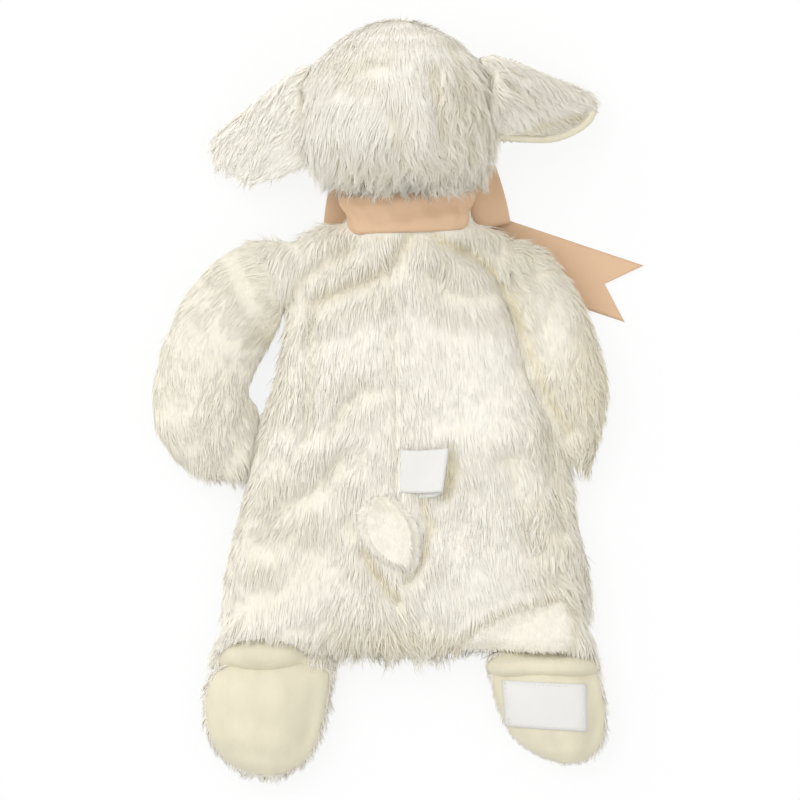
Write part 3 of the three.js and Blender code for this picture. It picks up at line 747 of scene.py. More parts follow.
def keep_in_band(mesh):
    """Keeps the neck's skin under the ribbon band."""
    points = points_of(mesh)
    y = points[:, 1] / MM
    share = ramp(y, BAND_TOP, -15.3)
    wide, centre = 27.0 - BAND_TAPER * share, BAND_X + 1.2 * share
    beyond = np.maximum(np.maximum(66.3 - y, y - 82.6), 0)
    across = np.clip(np.abs(points[:, 0] / MM - centre) / wide, 0, 1)
    room = 6.9 * (1 - across**2.33) ** 0.43 + 3.0 * beyond + 40 * np.clip(across - 0.97, 0, 1) * 33
    points[:, 2] = (BAND_Z + np.clip(points[:, 2] / MM - BAND_Z, -room, room)) * MM
    set_points(mesh, points)


def over_ribbon(points, margin):
    """1 above the floor that the ribbon's ends slide over, and 0 beyond a margin in millimetres."""
    x, y = points[:, 0] / MM - KNOT[0], points[:, 1] / MM - KNOT[1]
    radius, angle = np.hypot(x, y), np.degrees(np.arctan2(y, x))
    share = np.zeros(len(points))
    for first, last in RIBBON_SLIDES:
        beyond = np.clip(np.maximum(first - angle, angle - last), 0, 90)
        gap = np.maximum(radius * np.sin(np.radians(beyond)), radius - RIBBON_END)
        share = np.maximum(share, np.clip((12 + margin - gap) / 2, 0, 1))
    return share


def clear_ribbon(mesh):
    """Lifts the underside of a skin off the floor, and a little more where the ribbon slides."""
    keep_off_floor(mesh, (0.4 + 1.6 * over_ribbon(points_of(mesh), 2)) * MM)


def by_place(points, spots, base):
    """A value that changes softly from a base to that of each spot."""
    value = np.full(len(points), float(base))
    for (x, y), (wide, long), target in spots:
        gap = ((points[:, 0] / MM - x) / wide) ** 2 + ((points[:, 1] / MM - y) / long) ** 2
        value += (target - value) * np.exp(-(gap**2))
    return value


def wander(points, *waves):
    """Noise vectors that turn the strands, from an amount, a size in millimetres and an offset of each."""
    return sum(amount * noise_field(points, size * MM, offset) for amount, size, offset in waves)


def at_edge(normals, sharpness):
    """1 where a skin faces sideways, 0 where it faces up or down."""
    return np.clip(1 - np.abs(normals[:, 2]) * sharpness, 0, 1)


# Plush pile


class NodeTree(Nodes):
    """A Geometry Nodes tree with named inputs."""

    def __init__(self, name, inputs):
        super().__init__(bpy.data.node_groups.new(name, "GeometryNodeTree"))
        rows = {"Geometry": ("NodeSocketGeometry", None), **inputs}
        for label, (kind, value) in rows.items():
            socket = self.tree.interface.new_socket(name=label, in_out="INPUT", socket_type=kind)
            if value is not None:
                socket.default_value = value
        self.tree.interface.new_socket(name="Geometry", in_out="OUTPUT", socket_type="NodeSocketGeometry")
        self.source = self.tree.nodes.new("NodeGroupInput").outputs
        self.sink = self.tree.nodes.new("NodeGroupOutput")

    def given(self, name):
        return Value(self, self.source[name])

    def between(self, number, low, high):
        return self.math("MINIMUM", self.math("MAXIMUM", number, low), high)

    def dot(self, a, b):
        return self.value("ShaderNodeVectorMath", {0: a, 1: b}, "Value", operation="DOT_PRODUCT")

    def combined(self, x, y, z):
        return Arrow(self, self.add("ShaderNodeCombineXYZ", {0: x, 1: y, 2: z}).outputs[0])

    def arrow(self, name):
        node = self.add("GeometryNodeInputNamedAttribute", {"Name": name}, data_type="FLOAT_VECTOR")
        return Arrow(self, node.outputs["Attribute"])

    def number(self, name):
        return self.value("GeometryNodeInputNamedAttribute", {"Name": name}, "Attribute", data_type="FLOAT")

    def store(self, geometry, name, value, kind="FLOAT_VECTOR", domain="POINT"):
        node = self.add("GeometryNodeStoreNamedAttribute", {
            "Geometry": geometry, "Name": name, "Value": value}, data_type=kind, domain=domain)
        return node.outputs["Geometry"]

    def random(self, seed):
        node = self.add("FunctionNodeRandomValue", {"Seed": seed}, data_type="FLOAT_VECTOR")
        return node.outputs["Value"]

    def end(self, geometry, finish):
        """The last two nodes: everything made real, with its finish."""
        real = self.add("GeometryNodeRealizeInstances", {"Geometry": geometry}).outputs[0]
        painted = self.add("GeometryNodeSetMaterial", {"Geometry": real, "Material": finish})
        self.tree.links.new(painted.outputs[0], self.sink.inputs[0])


PILE_INPUTS = {
    "Density": ("NodeSocketFloat", 1.4e6),
    "Lock Density": ("NodeSocketFloat", 0.1e6),
    "Length": ("NodeSocketFloat", 0.011),
    "Width": ("NodeSocketFloat", 0.0005),
    "Lift": ("NodeSocketFloat", 0.36),
    "Droop": ("NodeSocketFloat", 0.24),
    "Clumping": ("NodeSocketFloat", 0.5),
    "Sway": ("NodeSocketFloat", 0.55),
    "Curl": ("NodeSocketFloat", 0.03),
    "Seed": ("NodeSocketInt", 1),
    "Material": ("NodeSocketMaterial", None),
}


def pile_tree():
    """Strands on a skin: combed along its "comb", gathered into locks, bent over and tapered.

    The skin carries "comb" (direction), "grow" (share of the density), "reach" (share of the length),
    "ruffle" (how untidy the locks are), "shade" (how much painted shade its strands take, most in a fold),
    "stand" (how far strands combed outwards stand away from it) and "lowest" (the height that they keep to)."""
    known = bpy.data.node_groups.get("plush_pile_tree")
    if known:
        return known
    t = NodeTree("plush_pile_tree", PILE_INPUTS)
    skin, seed = t.source["Geometry"], t.given("Seed")
    strands = t.add("GeometryNodeDistributePointsOnFaces", {
        "Mesh": skin, "Density": t.given("Density") * t.number("grow"), "Seed": seed}).outputs
    locks = t.add("GeometryNodeDistributePointsOnFaces", {
        "Mesh": skin, "Density": t.source["Lock Density"], "Seed": seed + 1}).outputs["Points"]
    here = t.add("GeometryNodeInputPosition").outputs[0]
    nearest = t.add("GeometryNodeSampleNearest", {"Geometry": locks}, domain="POINT").outputs[0]

    def from_lock(value):
        node = t.add("GeometryNodeSampleIndex", {"Geometry": locks, "Value": value, "Index": nearest},
                     data_type="FLOAT_VECTOR", domain="POINT")
        return node.outputs["Value"]

    points = t.store(strands["Points"], "root", here)
    points = t.store(points, "up", strands["Normal"])
    points = t.store(points, "pull", t.vector("SUBTRACT", from_lock(here), here))
    points = t.store(points, "lock", from_lock(t.random(seed + 2)))
    points = t.store(points, "own", t.random(seed + 3))
    cone = t.add("GeometryNodeMeshCone", {
        "Vertices": 3, "Side Segments": 3, "Fill Segments": 1,
        "Radius Top": 0.0, "Radius Bottom": 1.0, "Depth": 1.0}, fill_type="TRIANGLE_FAN")
    strand = t.store(cone.outputs["Mesh"], "strand", here)
    placed = t.add("GeometryNodeInstanceOnPoints", {"Points": points, "Instance": strand}).outputs[0]
    real = t.add("GeometryNodeRealizeInstances", {"Geometry": placed}).outputs[0]

    # Frame of each strand: along the skin, across it and up from it
    sx, sy, raw_height = t.parts(t.arrow("strand"))
    height = t.between(raw_height, 0.0, 1.0)
    lock_a, lock_b, lock_c = t.parts(t.arrow("lock"))
    own_a, own_b, own_c = t.parts(t.arrow("own"))
    ruffle, width = t.number("ruffle"), t.given("Width")
    up, comb, pull = t.arrow("up"), t.arrow("comb"), t.arrow("pull")
    outwards = t.dot(comb, up)
    flat = comb - up * outwards
    away = t.math("MAXIMUM", outwards, 0.0) * t.number("stand")
    along = t.vector("NORMALIZE", flat + up * away)
    side = t.vector("NORMALIZE", t.vector("CROSS_PRODUCT", up, flat))

    # Path of each strand, as shares of its length
    length = t.given("Length") * t.number("reach") * (lock_a * 0.45 + 0.72) * (own_a * 0.4 + 0.75)
    squared = height * height
    offset = t.dot(pull, side) / (1.6 * MM)
    flank = t.math("MINIMUM", t.dot(pull, pull) / (2.4 * MM) ** 2, 1.0)
    calm = ruffle * 0.86 + 0.14
    lift = t.given("Lift") * (lock_b * 0.7 + 0.62) * (flank * -0.35 + 1.0) * calm
    droop = t.given("Droop") * calm
    rise = lift * height - droop * squared
    forward = height - squared * 0.12
    lean = (lock_c - 0.5) * t.given("Sway") * (ruffle * 1.15 + 0.1)
    stray = (own_b - 0.5) * (ruffle * 0.26 + 0.06)
    wave = t.math("SINE", height * 7.5 + (lock_a * 6.283 + own_c * 1.3))
    curl = t.given("Curl") * (ruffle * 1.2 + 0.4)
    sway = lean * height + stray * squared + wave * height * curl
    path = along * forward + up * rise + side * sway
    clump = t.given("Clumping") * t.math("POWER", height, 1.25) * calm
    section = side * (sy * (width * -0.577)) + up * (sx * (width * 0.2))
    x, y, z = t.parts(t.arrow("root") + path * length + pull * clump + section)
    place = t.combined(x, y, t.math("MAXIMUM", z, t.number("lowest")))
    bent = t.add("GeometryNodeSetPosition", {"Geometry": real, "Position": place}).outputs[0]

    # Where each strand faces, turned upwards on steep sides
    slope = lift - height * (droop * 2.0)
    tilt = lean * 0.45 + offset * (calm * -0.2)
    facing = up + along * (slope * -0.22) + side * tilt
    level = t.parts(up)[2]
    steep = t.math("MINIMUM", 1.0 - level, 1.0)
    facing = facing + t.combined(0.0, 0.0, steep * t.between(level * 1.2 + 1.1, 0.0, 1.0) * 0.85)
    bent = t.store(bent, "facing", t.vector("NORMALIZE", facing))
    bent = t.store(bent, "trail", along)

    # Tone of each strand: a random tone of its own, with painted shade sampled from the skin's folds and
    # shaded patches
    under = t.add("GeometryNodeSampleNearestSurface", {
        "Mesh": skin, "Value": t.number("shade"), "Sample Position": place}, data_type="FLOAT")
    bent = t.store(bent, "deep", under.outputs["Value"], "FLOAT")
    spread = 0.25 - lock_b * 0.16 - own_a * 0.04
    tone = 0.95 - spread * (ruffle * 0.7 + 0.3) - t.number("deep") * 0.8
    tone = t.between(tone, 0.03, 0.96) + sx * 0.02
    mapped = t.store(bent, "OFBake", t.combined(tone, height * 0.96 + 0.02, 0.0), "FLOAT2", "CORNER")
    t.end(mapped, t.source["Material"])
    return t.tree


def set_input(modifier, name, value):
    for item in modifier.node_group.interface.items_tree:
        if getattr(item, "in_out", "") == "INPUT" and item.name == name:
            modifier[item.identifier] = value
            return
    raise ValueError(f"no input named {name}")


KEPT_ATTRIBUTES = {
    "position", "OFBake", "UVMap", "sharp_face", "material_index", ".edge_verts", ".corner_vert",
    ".corner_edge", "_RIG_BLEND", "custom_normal",
}


def normalised(vectors):
    return vectors / np.maximum(np.linalg.norm(vectors, axis=1, keepdims=True), 1e-9)


def shade_strands(mesh, facing, trail):
    """Even normals along each strand: its upper side faces outwards, its underside past the tip."""
    corners = read(mesh.loops, "vertex_index", 1, int)[:, 0]
    totals = read(mesh.polygons, "loop_total", 1, int)[:, 0]
    face_normals = np.repeat(read(mesh.polygons, "normal"), totals, axis=0)
    chosen = facing[corners]
    side = np.sign(np.einsum("ij,ij->i", face_normals, chosen))
    side[side == 0] = 1
    under = normalised(0.95 * trail[corners] - 0.4 * chosen)
    mesh.shade_smooth()
    mesh.normals_split_custom_set(np.where(side[:, None] > 0, chosen, under))


def grown(source, tree, finish, inputs):
    """The mesh that a node tree makes of an object, which is removed."""
    modifier = source.modifiers.new("nodes", "NODES")
    modifier.node_group = tree
    for label, value in inputs.items():
        set_input(modifier, label.replace("_", " "), value)
    set_input(modifier, "Material", material(finish))
    mesh = evaluated_mesh(source)
    remove_object(source)
    return mesh


def grow_pile(name, skin, home, share=1.0, seed=0, keep=None, **changes):
    """Adds the strands of a skin, or of those of its faces whose middles pass a test.

    Changes are inputs of the pile in which this piece departs from the settings."""
    pile = settings().lamb_pile
    density, width = ((1.0, 1.0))
    sizes = {
        "Density": pile.density * share * density / MM**2,
        "Lock_Density": 0.13 / MM**2,
        "Length": pile.length,
        "Width": pile.width * width,
        "Seed": pile.seed + seed,
    }
    sizes.update(changes)
    source = add_object(name + "_skin", part_of(skin, keep) if keep else skin.copy())
    mesh = grown(source, pile_tree(), "plush_pile", sizes)
    facing, trail = (read(mesh.attributes[way].data, "vector") for way in ("facing", "trail"))
    for stray in [a.name for a in mesh.attributes if a.name not in KEPT_ATTRIBUTES]:
        layer = mesh.attributes.get(stray)
        if layer is not None and not layer.is_internal and not layer.is_required:
            mesh.attributes.remove(layer)
    shade_strands(mesh, facing, trail)
    return add_piece(name, mesh, "plush_pile", home)


def describe_skin(skin, comb, grow, reach, ruffle=0.6, shade=0.0, stand=0.16):
    """Puts the pile's directions and shares on a skin; a share is one number or one for each point."""
    attribute(skin, "comb", "FLOAT_VECTOR", comb)
    lowest = (0.25 + 1.3 * over_ribbon(points_of(skin), 9)) * MM
    shares = {
        "grow": grow, "reach": reach, "ruffle": ruffle, "shade": shade, "stand": stand, "lowest": lowest}
    for name, values in shares.items():
        attribute(skin, name, "FLOAT", np.broadcast_to(values, len(skin.vertices)))


def part_of(skin, keep):
    """The faces of a skin whose middles pass a test, with the skin's attributes."""
    bm = bmesh_of(skin)
    bmesh.ops.delete(bm, geom=[f for f in bm.faces if not keep(f.calc_center_median())], context="FACES")
    return mesh_of(bm, skin.name + "_part")


def follow(points, line):
    """The direction of the nearest stretch of a line of places, for each point."""
    best = np.full(len(points), 1e9)
    direction = np.zeros((len(points), 3))
    for a, b in zip(line[:-1], line[1:]):
        a, b = np.array(a, float) * MM, np.array(b, float) * MM
        d = b - a
        t = np.clip(((points[:, :2] - a) @ d) / (d @ d), 0, 1)
        gap = np.linalg.norm(points[:, :2] - (a + t[:, None] * d), axis=1)
        nearer = gap < best
        best[nearer] = gap[nearer]
        direction[nearer, :2] = d / np.linalg.norm(d)
    return direction


def add_piece(name, mesh, finish, home, replaces=()):
    """Adds a finished piece, whose home is the body it rides on or the bend between two bodies."""
    piece = add_object(name, mesh, finish)
    if not mesh.has_custom_normals:
        mesh.shade_smooth()
    if replaces:
        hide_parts(*replaces)
    if isinstance(home, str):
        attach(piece, home)
    else:
        first, second, start, end = home
        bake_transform(piece, first, second, start=start, end=end)
    return piece


# Joint zones, where a cover bends from one body to the next


def zone(joint, before, after):
    """Start and end of the bend: distances before and after the hinge, square to its axis in plan."""
    row = JOINTS[joint]
    pivot = Vector(row["pos_m"])
    out = Vector(row["axis"]).cross(Vector((0, 0, 1)))
    out.negate()
    out.normalize()
    return row["parent"], row["child"], pivot - out * before, pivot + out * after


# The body


# The smooth patch above the right cuff, and the cuffs' lenses: middle and radii in plan, in millimetres
LEG_PATCH = [(24, -99), (32, -91), (42, -85), (54, -81.5), (66, -78.5), (69.5, -90), (69, -103), (34, -104)]
CUFF_LENSES = {"left": ((-53.5, -102), (16.8, 7.2)), "right": ((58, -107), (22.5, 4.4))}


def body_comb(points, normals, ruffle):
    """Downwards, spreading to the sides, outwards at the edges, and wandering."""
    comb = np.zeros((len(points), 3))
    comb[:, 0] = 0.28 * np.clip(points[:, 0] / MM / 70, -1, 1)
    comb[:, 1] = -1.0
    outwards = (0.6 + 1.2 * ramp(points[:, 1:2] / MM, 56, 8)) * normals[:, :2]
    comb[:, :2] += outwards * at_edge(normals, 1.4)[:, None]
    return comb + wander(points, (0.42, 30, 1.0), (0.42 * ruffle[:, None], 9, 4.0))


class LAMB_OT_body(bpy.types.Operator):
    """Makes the slack plush body with its folds and pile"""

    bl_idname = "lamb.body"
    bl_label = "Body"

    def inside(self, points, outline):
        """1 inside an outline in plan and 0 outside it, with a soft edge."""
        x, y = points[:, 0] / MM, points[:, 1] / MM
        within = np.zeros(len(points), bool)
        for (ax, ay), (bx, by) in zip(outline, outline[1:] + outline[:1]):
            crosses = (ay > y) != (by > y)
            span = by - ay if by != ay else 1e-9
            within ^= crosses & (x < (bx - ax) * (y - ay) / span + ax)
        gap = line_distance(points / MM, outline + outline[:1])
        return np.clip(0.5 + np.where(within, gap, -gap) / 2.4, 0, 1)

    def outside_lens(self, points, lens):
        """Distance from the middle of a cuff's lens in plan, 1 on its edge."""
        (x, y), (wide, long) = lens
        return np.hypot((points[:, 0] / MM - x) / wide, (points[:, 1] / MM - y) / long)

    def sink_under_cuffs(self, mesh):
        """Lowers the back of the legs where the velour cuffs show."""
        points = points_of(mesh)
        for lens in CUFF_LENSES.values():
            share = ramp(self.outside_lens(points, lens), 1.15, -0.3)
            share = share * share * (3 - 2 * share)
            points[:, 2] -= share * np.maximum(points[:, 2] - 12 * MM, 0)
        set_points(mesh, points)

    def describe(self, skin):
        """Gives the body's pile its directions, density, length and untidiness."""
        front = settings().lamb_pile.front_share
        points, normals = points_of(skin), normals_of(skin)
        # painted shade: the folds and shaded patches, over an even 0.1 everywhere
        shade = fold_shade(points, BODY_FOLDS + PATCH_FOLDS, BODY_SHADE_PATCHES, 0.1)
        deep = np.clip(shade - 0.3, 0, 1)
        upper = ramp(normals[:, 2], -0.25, 0.35)
        beside = ramp(np.abs(points[:, 0] / MM - 4.6), 20, 4)
        top = (68 + 7 * beside) * MM
        grow = (front + (1 - front) * upper) * ramp(points[:, 1], top, -2 * MM)
        reach = (1.0 - 0.35 * (1 - upper)) * (1 - 0.5 * deep)
        reach *= np.clip(0.55 + 0.3 * beside + (top - points[:, 1]) / (20 * MM), 0.55, 1.0)
        ruffle = by_place(points, BODY_SPOTS, 0.45)
        ruffle += (0.12 + ruffle) * 0.9 * noise_field(points, 17 * MM, 7.0)[:, 0]
        ruffle = np.clip(ruffle + 0.3 * deep, 0, 1.3)
        smooth_leg = upper * self.inside(points, LEG_PATCH)
        grow *= 1 - 0.35 * smooth_leg
        reach *= 1 - 0.68 * smooth_leg
        ruffle *= 1 - smooth_leg
        for lens in CUFF_LENSES.values():
            off = self.outside_lens(points, lens)
            grow *= np.where(points[:, 2] > BODY_SEAM_Z, ramp(off, 0.92, 0.1), 1)
            reach = np.maximum(reach * np.clip(0.3 + 0.9 * (off - 1), 0.3, 1), 0.24)
        describe_skin(skin, body_comb(points, normals, ruffle), grow, reach, ruffle, shade)

    def execute(self, context):
        cloth, pile = settings().lamb_cloth, settings().lamb_pile
        covers = ["body_back_left_plush", "body_back_right_plush", "body_front_plush", "body_filling"]
        shoulders = [
            (mm(-27, 63.5, 10), mm(17, 8, 7), math.radians(12)),
            (mm(36, 62, 9.5), mm(14, 8.5, 6.5), math.radians(-25)),
        ]
        skin = soft_skin("body", covers, cloth.voxel, pile.inset, shoulders)
        swell(skin, 2.0)
        press_folds(skin, BODY_FOLDS + PATCH_FOLDS, BODY_SEAM_Z, 0.75)
        add_puffs(skin, BODY_SEAM_Z, 0.75 * MM, 2.0)
        smooth_points(skin, 1, 0.4)
        self.sink_under_cuffs(skin)
        keep_in_band(skin)
        clear_ribbon(skin)
        self.describe(skin)
        split = (("upper", lambda c: c.y > PILE_SPLIT_Y), ("lower", lambda c: c.y <= PILE_SPLIT_Y))
        sides = (
            ("body_back_left", lambda c: c.z > BODY_SEAM_Z and c.x < SEAM_X),
            ("body_back_right", lambda c: c.z > BODY_SEAM_Z and c.x >= SEAM_X),
            ("body_front", lambda c: c.z <= BODY_SEAM_Z),
        )
        for i, (side, on_side) in enumerate(sides):
            for j, (half, in_half) in enumerate(split):
                grow_pile(f"{side}_pile_{half}", skin, "torso", seed=10 * i + 5 * j,
                          keep=lambda c: on_side(c) and in_half(c))
        back = above(skin, BODY_SEAM_Z)
        panels = (
            ("body_back_left", cut(back, (SEAM_X, 0, 0), (-1, 0, 0))),
            ("body_back_right", cut(back, (SEAM_X, 0, 0), (1, 0, 0))),
            ("body_front", below(skin, BODY_SEAM_Z)),
        )
        for name, mesh in panels:
            add_piece(name + "_cover", mesh, "plush_backing", "torso", [name + "_plush"])
        return {"FINISHED"}


# Head


def head_comb(points, normals, ruffle):
    """From the crown down the back of the head, over both sides and under at the neck, in soft waves."""
    comb = np.zeros((len(points), 3))
    comb[:, 0] = 0.4 * np.clip(points[:, 0] / MM / 34, -1.2, 1.2)
    comb[:, 1] = -1.0
    comb[:, 2] = np.where(normals[:, 1] > 0, 0.9, -0.5 * normals[:, 2]) * normals[:, 1]
    comb += 0.9 * normals * at_edge(normals, 1.3)[:, None]
    return comb + wander(points, (0.5, 20, 9.0), (0.6 * ruffle[:, None], 8, 2.0))


class LAMB_OT_head(bpy.types.Operator):
    """Makes the stuffed head: plush back and velour face"""

    bl_idname = "lamb.head"
    bl_label = "Head"

    def execute(self, context):
        cloth, pile = settings().lamb_cloth, settings().lamb_pile
        low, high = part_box("neck_ribbon")
        middle = (low + high) / 2
        neck = ((middle.x, NECK_END_Y, middle.z), mm(20, 12, 6), 0.0)
        nodes = ["head_back_plush", "head_face_velour", "head_filling"]

        def depth(points):
            share = ramp(points[:, 2] - HEAD_SEAM_Z, -4 * MM, 10 * MM)
            return (0.7 + (pile.inset / MM - 0.7) * share) * MM

        skin = soft_skin("head", nodes, cloth.voxel, depth, [neck])
        swell(skin, 1.5)
        press_folds(skin, HEAD_FOLDS, HEAD_SEAM_Z + 4 * MM)
        add_puffs(skin, HEAD_SEAM_Z + 4 * MM, 1.1 * MM, 5.0)
        smooth_points(skin, 1, 0.4)
        keep_in_band(skin)
        points, normals = points_of(skin), normals_of(skin)
        # painted shade: the head's folds and shaded patches, over an even 0.06
        shade = fold_shade(points, HEAD_FOLDS, HEAD_SHADE_PATCHES, 0.06)
        furry = ramp(points[:, 2] - HEAD_SEAM_Z, -4 * MM, 4 * MM)
        clear = ramp(points[:, 1] - NECK_END_Y, 0.5 * MM, 3 * MM)
        reach = 0.5 + 0.55 * ramp(points[:, 1], NECK_END_Y, 18 * MM)
        reach *= (1 - 0.2 * np.clip(normals[:, 1], 0, 1)) * (1 - 0.3 * np.clip(shade - 0.3, 0, 1))
        ruffle = by_place(points, HEAD_SPOTS, 0.45) + 0.35 * noise_field(points, 14 * MM, 3.0)[:, 0]
        ruffle = np.clip(ruffle, 0, 1.2)
        stand = 0.25 + 0.5 * ramp(points[:, 1], 91 * MM, -6 * MM)
        describe_skin(skin, head_comb(points, normals, ruffle), furry * clear, reach, ruffle, shade, stand)
        bend = zone("head_nod", 4 * MM, 10 * MM)
        for i, (half, keep) in enumerate((("left", lambda c: c.x < 0), ("right", lambda c: c.x >= 0))):
            grow_pile(f"head_pile_{half}", skin, bend, 1.2, 40 + 5 * i,
                      lambda c: keep(c) and c.z > HEAD_SEAM_Z - 6 * MM,
                      Lift=0.42, Sway=0.8, Clumping=0.6, Curl=0.07, Lock_Density=0.18 / MM**2)
        back, face = above(skin, HEAD_SEAM_Z), below(skin, HEAD_SEAM_Z)
        add_piece("head_back_cover", back, "plush_backing", bend, ["head_back_plush"])
        add_piece("head_face_cover", face, "velour_nap", bend, ["head_face_velour"])
        return {"FINISHED"}


# Ears


# The middle of the rolled rim along the lower edge of the right ear, in plan, and the ear's folds, with
# painted shade in the folds
EAR_RIM = [(40.5, 104.4), (50, 103.6), (58.5, 103.4), (65, 104.6), (71, 107.2), (76, 110.8), (78.2, 114.5)]
EAR_FOLDS = [([(52, 106), (62, 110.5), (73, 113)], 1.0, 2.2, 0.5), ([(44, 124), (54, 118)], 1.0, 3.0, 0.3)]


class LAMB_OT_ears(bpy.types.Operator):
    """Makes the floppy ears: a plush side over a smooth lining"""

    bl_idname = "lamb.ears"
    bl_label = "Ears"

    def execute(self, context):
        for i, side in enumerate(SIDES):
            joint = f"ear_{side}_flap"
            bend = zone(joint, 2 * MM, 9 * MM)
            plush, lining = f"ear_{side}_plush", f"ear_{side}_lining"
            pivot = Vector(JOINTS[joint]["pos_m"])
            outward = -1 if side == "left" else 1
            root = (pivot + mm(-0.8 * outward, 0, 1), mm(3.0, 12, 4.4), math.radians(-8 * outward))
            core = soft_skin(plush, [plush], 1.0 * MM, 0.8 * MM, [root], rounds=8)
            points, normals = points_of(core), normals_of(core)
            points[:, 2] -= 1.1 * MM * np.clip(-normals[:, 2], 0, 1)
            set_points(core, points)
            comb = np.zeros((len(points), 3))
            comb[:, 0] = -0.75 if side == "left" else 0.6
            comb[:, 1] = -1.0
            comb += wander(points, (0.5, 14, 5.0), (0.45, 6, 8.0))
            grow = ramp(normals[:, 2], -0.15, 0.3)
            reach, ruffle, shade, rim = 0.78, 0.4, 0.0, []
            if side == "right":
                low = line_distance(points / MM, EAR_RIM)
                grow *= ramp(low, 1.5, 0.8)
                reach = 0.78 * (0.4 + 0.6 * ramp(low, 2.5, 8.0))
                comb[:, 1] *= np.clip(low / 9, 0.25, 1)
                # painted shade in the right ear's folds
                ruffle, shade = 1.0, fold_shade(points, EAR_FOLDS)
                rim = [(place, mm(1.5, 1.5, 1.3), 0.0) for place in self.rim_places(core)]
            describe_skin(core, comb, grow, reach, ruffle, shade)
            grow_pile(f"ear_{side}_pile", core, bend, 1.3, 60 + 5 * i, Lift=0.5, Sway=0.7)
            add_piece(f"ear_{side}_cover", core, "plush_backing", bend, [plush])
            under = soft_skin(lining, [lining], 0.8 * MM, 0.05 * MM, rim, rounds=8)
            add_piece(f"ear_{side}_smooth_side", under, "velour_nap", bend, [lining])
        return {"FINISHED"}

    def rim_places(self, core):
        """Places along the rolled rim, at the height of the plush edge beside it."""
        tree = tree_of(core)
        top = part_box("ear_right_plush")[1].z
        places = []
        for x, y in resampled(EAR_RIM, 48):
            near = tree.find_nearest(Vector((x * MM, y * MM, top)))[0]
            places.append(Vector((x * MM, y * MM, near.z - 0.7 * MM)))
        return places


# Arms

ARM_LINES = {
    "left": [(-40, 56), (-62, 46), (-76, 30), (-80, 10), (-79, -10), (-75, -31)],
    "right": [(40, 58), (56, 50), (66, 36), (69, 20), (72, 5), (75, -12), (76, -31)],
}


# The middles of the slack cloth between arm and body, in plan, and their half widths
ARM_WEBS = {
    "left": [
        ([(-46, 50), (-49.5, 40), (-52, 32), (-56.5, 23), (-62, 12), (-65, 3)], 6.2),
        ([(-62, -5), (-62, -11), (-63.5, -18), (-66, -26)], 7.2),
    ],
    "right": [([(42, 53), (46.5, 44), (50.5, 32), (54, 18), (59, 4), (65, -8), (70, -20)], 6.5)],
}


class LAMB_OT_arms(bpy.types.Operator):
    """Makes the arms, which bend into the shoulders"""

    bl_idname = "lamb.arms"
    bl_label = "Arms"

    def execute(self, context):
        cloth, pile = settings().lamb_cloth, settings().lamb_pile
        for i, side in enumerate(SIDES):
            joint = JOINTS[f"arm_{side}_lift"]
            pivot, axis = Vector(joint["pos_m"]), Vector(joint["axis"])
            bend = zone(f"arm_{side}_lift", 7 * MM, 9 * MM)
            wide = (15 if side == "left" else 9.5) * MM
            turn = math.atan2(axis.y, axis.x)
            stubs = [((pivot.x, pivot.y, 10.5 * MM), (wide, 12 * MM, 8 * MM), turn)]
            for line, width in ARM_WEBS[side]:
                for x, y in resampled(line, 3 * len(line)):
                    stubs.append((mm(x, y, 9.8), mm(width, width, 6.3), 0.0))
            nodes = [f"arm_{side}_{part}" for part in ("back_plush", "front_plush", "filling")]
            inset = pile.inset * (1 if side == "left" else 0.8)
            skin = soft_skin(f"arm_{side}", nodes, cloth.voxel, inset, stubs)
            swell(skin, 1.2)
            press_folds(skin, ARM_FOLDS[side], BODY_SEAM_Z)
            add_puffs(skin, BODY_SEAM_Z, 0.7 * MM, 8.0 + i)
            smooth_points(skin, 1, 0.4)
            clear_ribbon(skin)
            points, normals = points_of(skin), normals_of(skin)
            comb = follow(points, ARM_LINES[side])
            comb[:, :2] += 0.5 * normals[:, :2] * at_edge(normals, 1.4)[:, None]
            comb += wander(points, (0.4, 22, 6.0), (0.35, 8, 1.0))
            upper = ramp(normals[:, 2], -0.25, 0.35)
            grow = pile.front_share + (1 - pile.front_share) * upper
            # painted shade: the folds and shaded patches, over an even 0.36 that darkens the whole arm
            shade = fold_shade(points, ARM_FOLDS[side], ARM_SHADE_PATCHES[side], 0.36)
            ruffle = by_place(points, ARM_SPOTS[side], 0.04 if side == "left" else 0.7)
            ruffle = np.clip(ruffle + 0.4 * noise_field(points, 15 * MM, 2.0 + i)[:, 0], 0, 1.2)
            reach = (1 - 0.35 * (1 - upper)) * (0.85 - 0.25 * np.clip(shade - 0.3, 0, 1))
            describe_skin(skin, comb, grow, reach, ruffle, shade)
            seed = 80 + 20 * i
            grow_pile(f"arm_{side}_pile_back", skin, bend, 1.0, seed, lambda c: c.z > BODY_SEAM_Z)
            grow_pile(f"arm_{side}_pile_front", skin, bend, 1.0, seed + 5, lambda c: c.z <= BODY_SEAM_Z)
            for half, half_of in (("back", above), ("front", below)):
                add_piece(f"arm_{side}_{half}_cover", half_of(skin, BODY_SEAM_Z), "plush_backing", bend,
                          [f"arm_{side}_{half}_plush"])
        return {"FINISHED"}


# Feet and cuffs


# Hollows of the soles: lines in plan in millimetres, with depth, half width and no colour
SOLE_FOLDS = {
    "left": [
        ([(-76, -121), (-66, -127), (-52, -129)], 1.1, 5.0, 0), ([(-34, -116), (-36, -136)], 1.4, 5.5, 0),
        ([(-64, -140), (-46, -143)], 0.8, 3.0, 0),
    ],
    "right": [([(78, -112), (80, -126), (78, -138)], 1.8, 3.2, 0), ([(48, -137), (66, -138)], 0.8, 4.0, 0)],
}


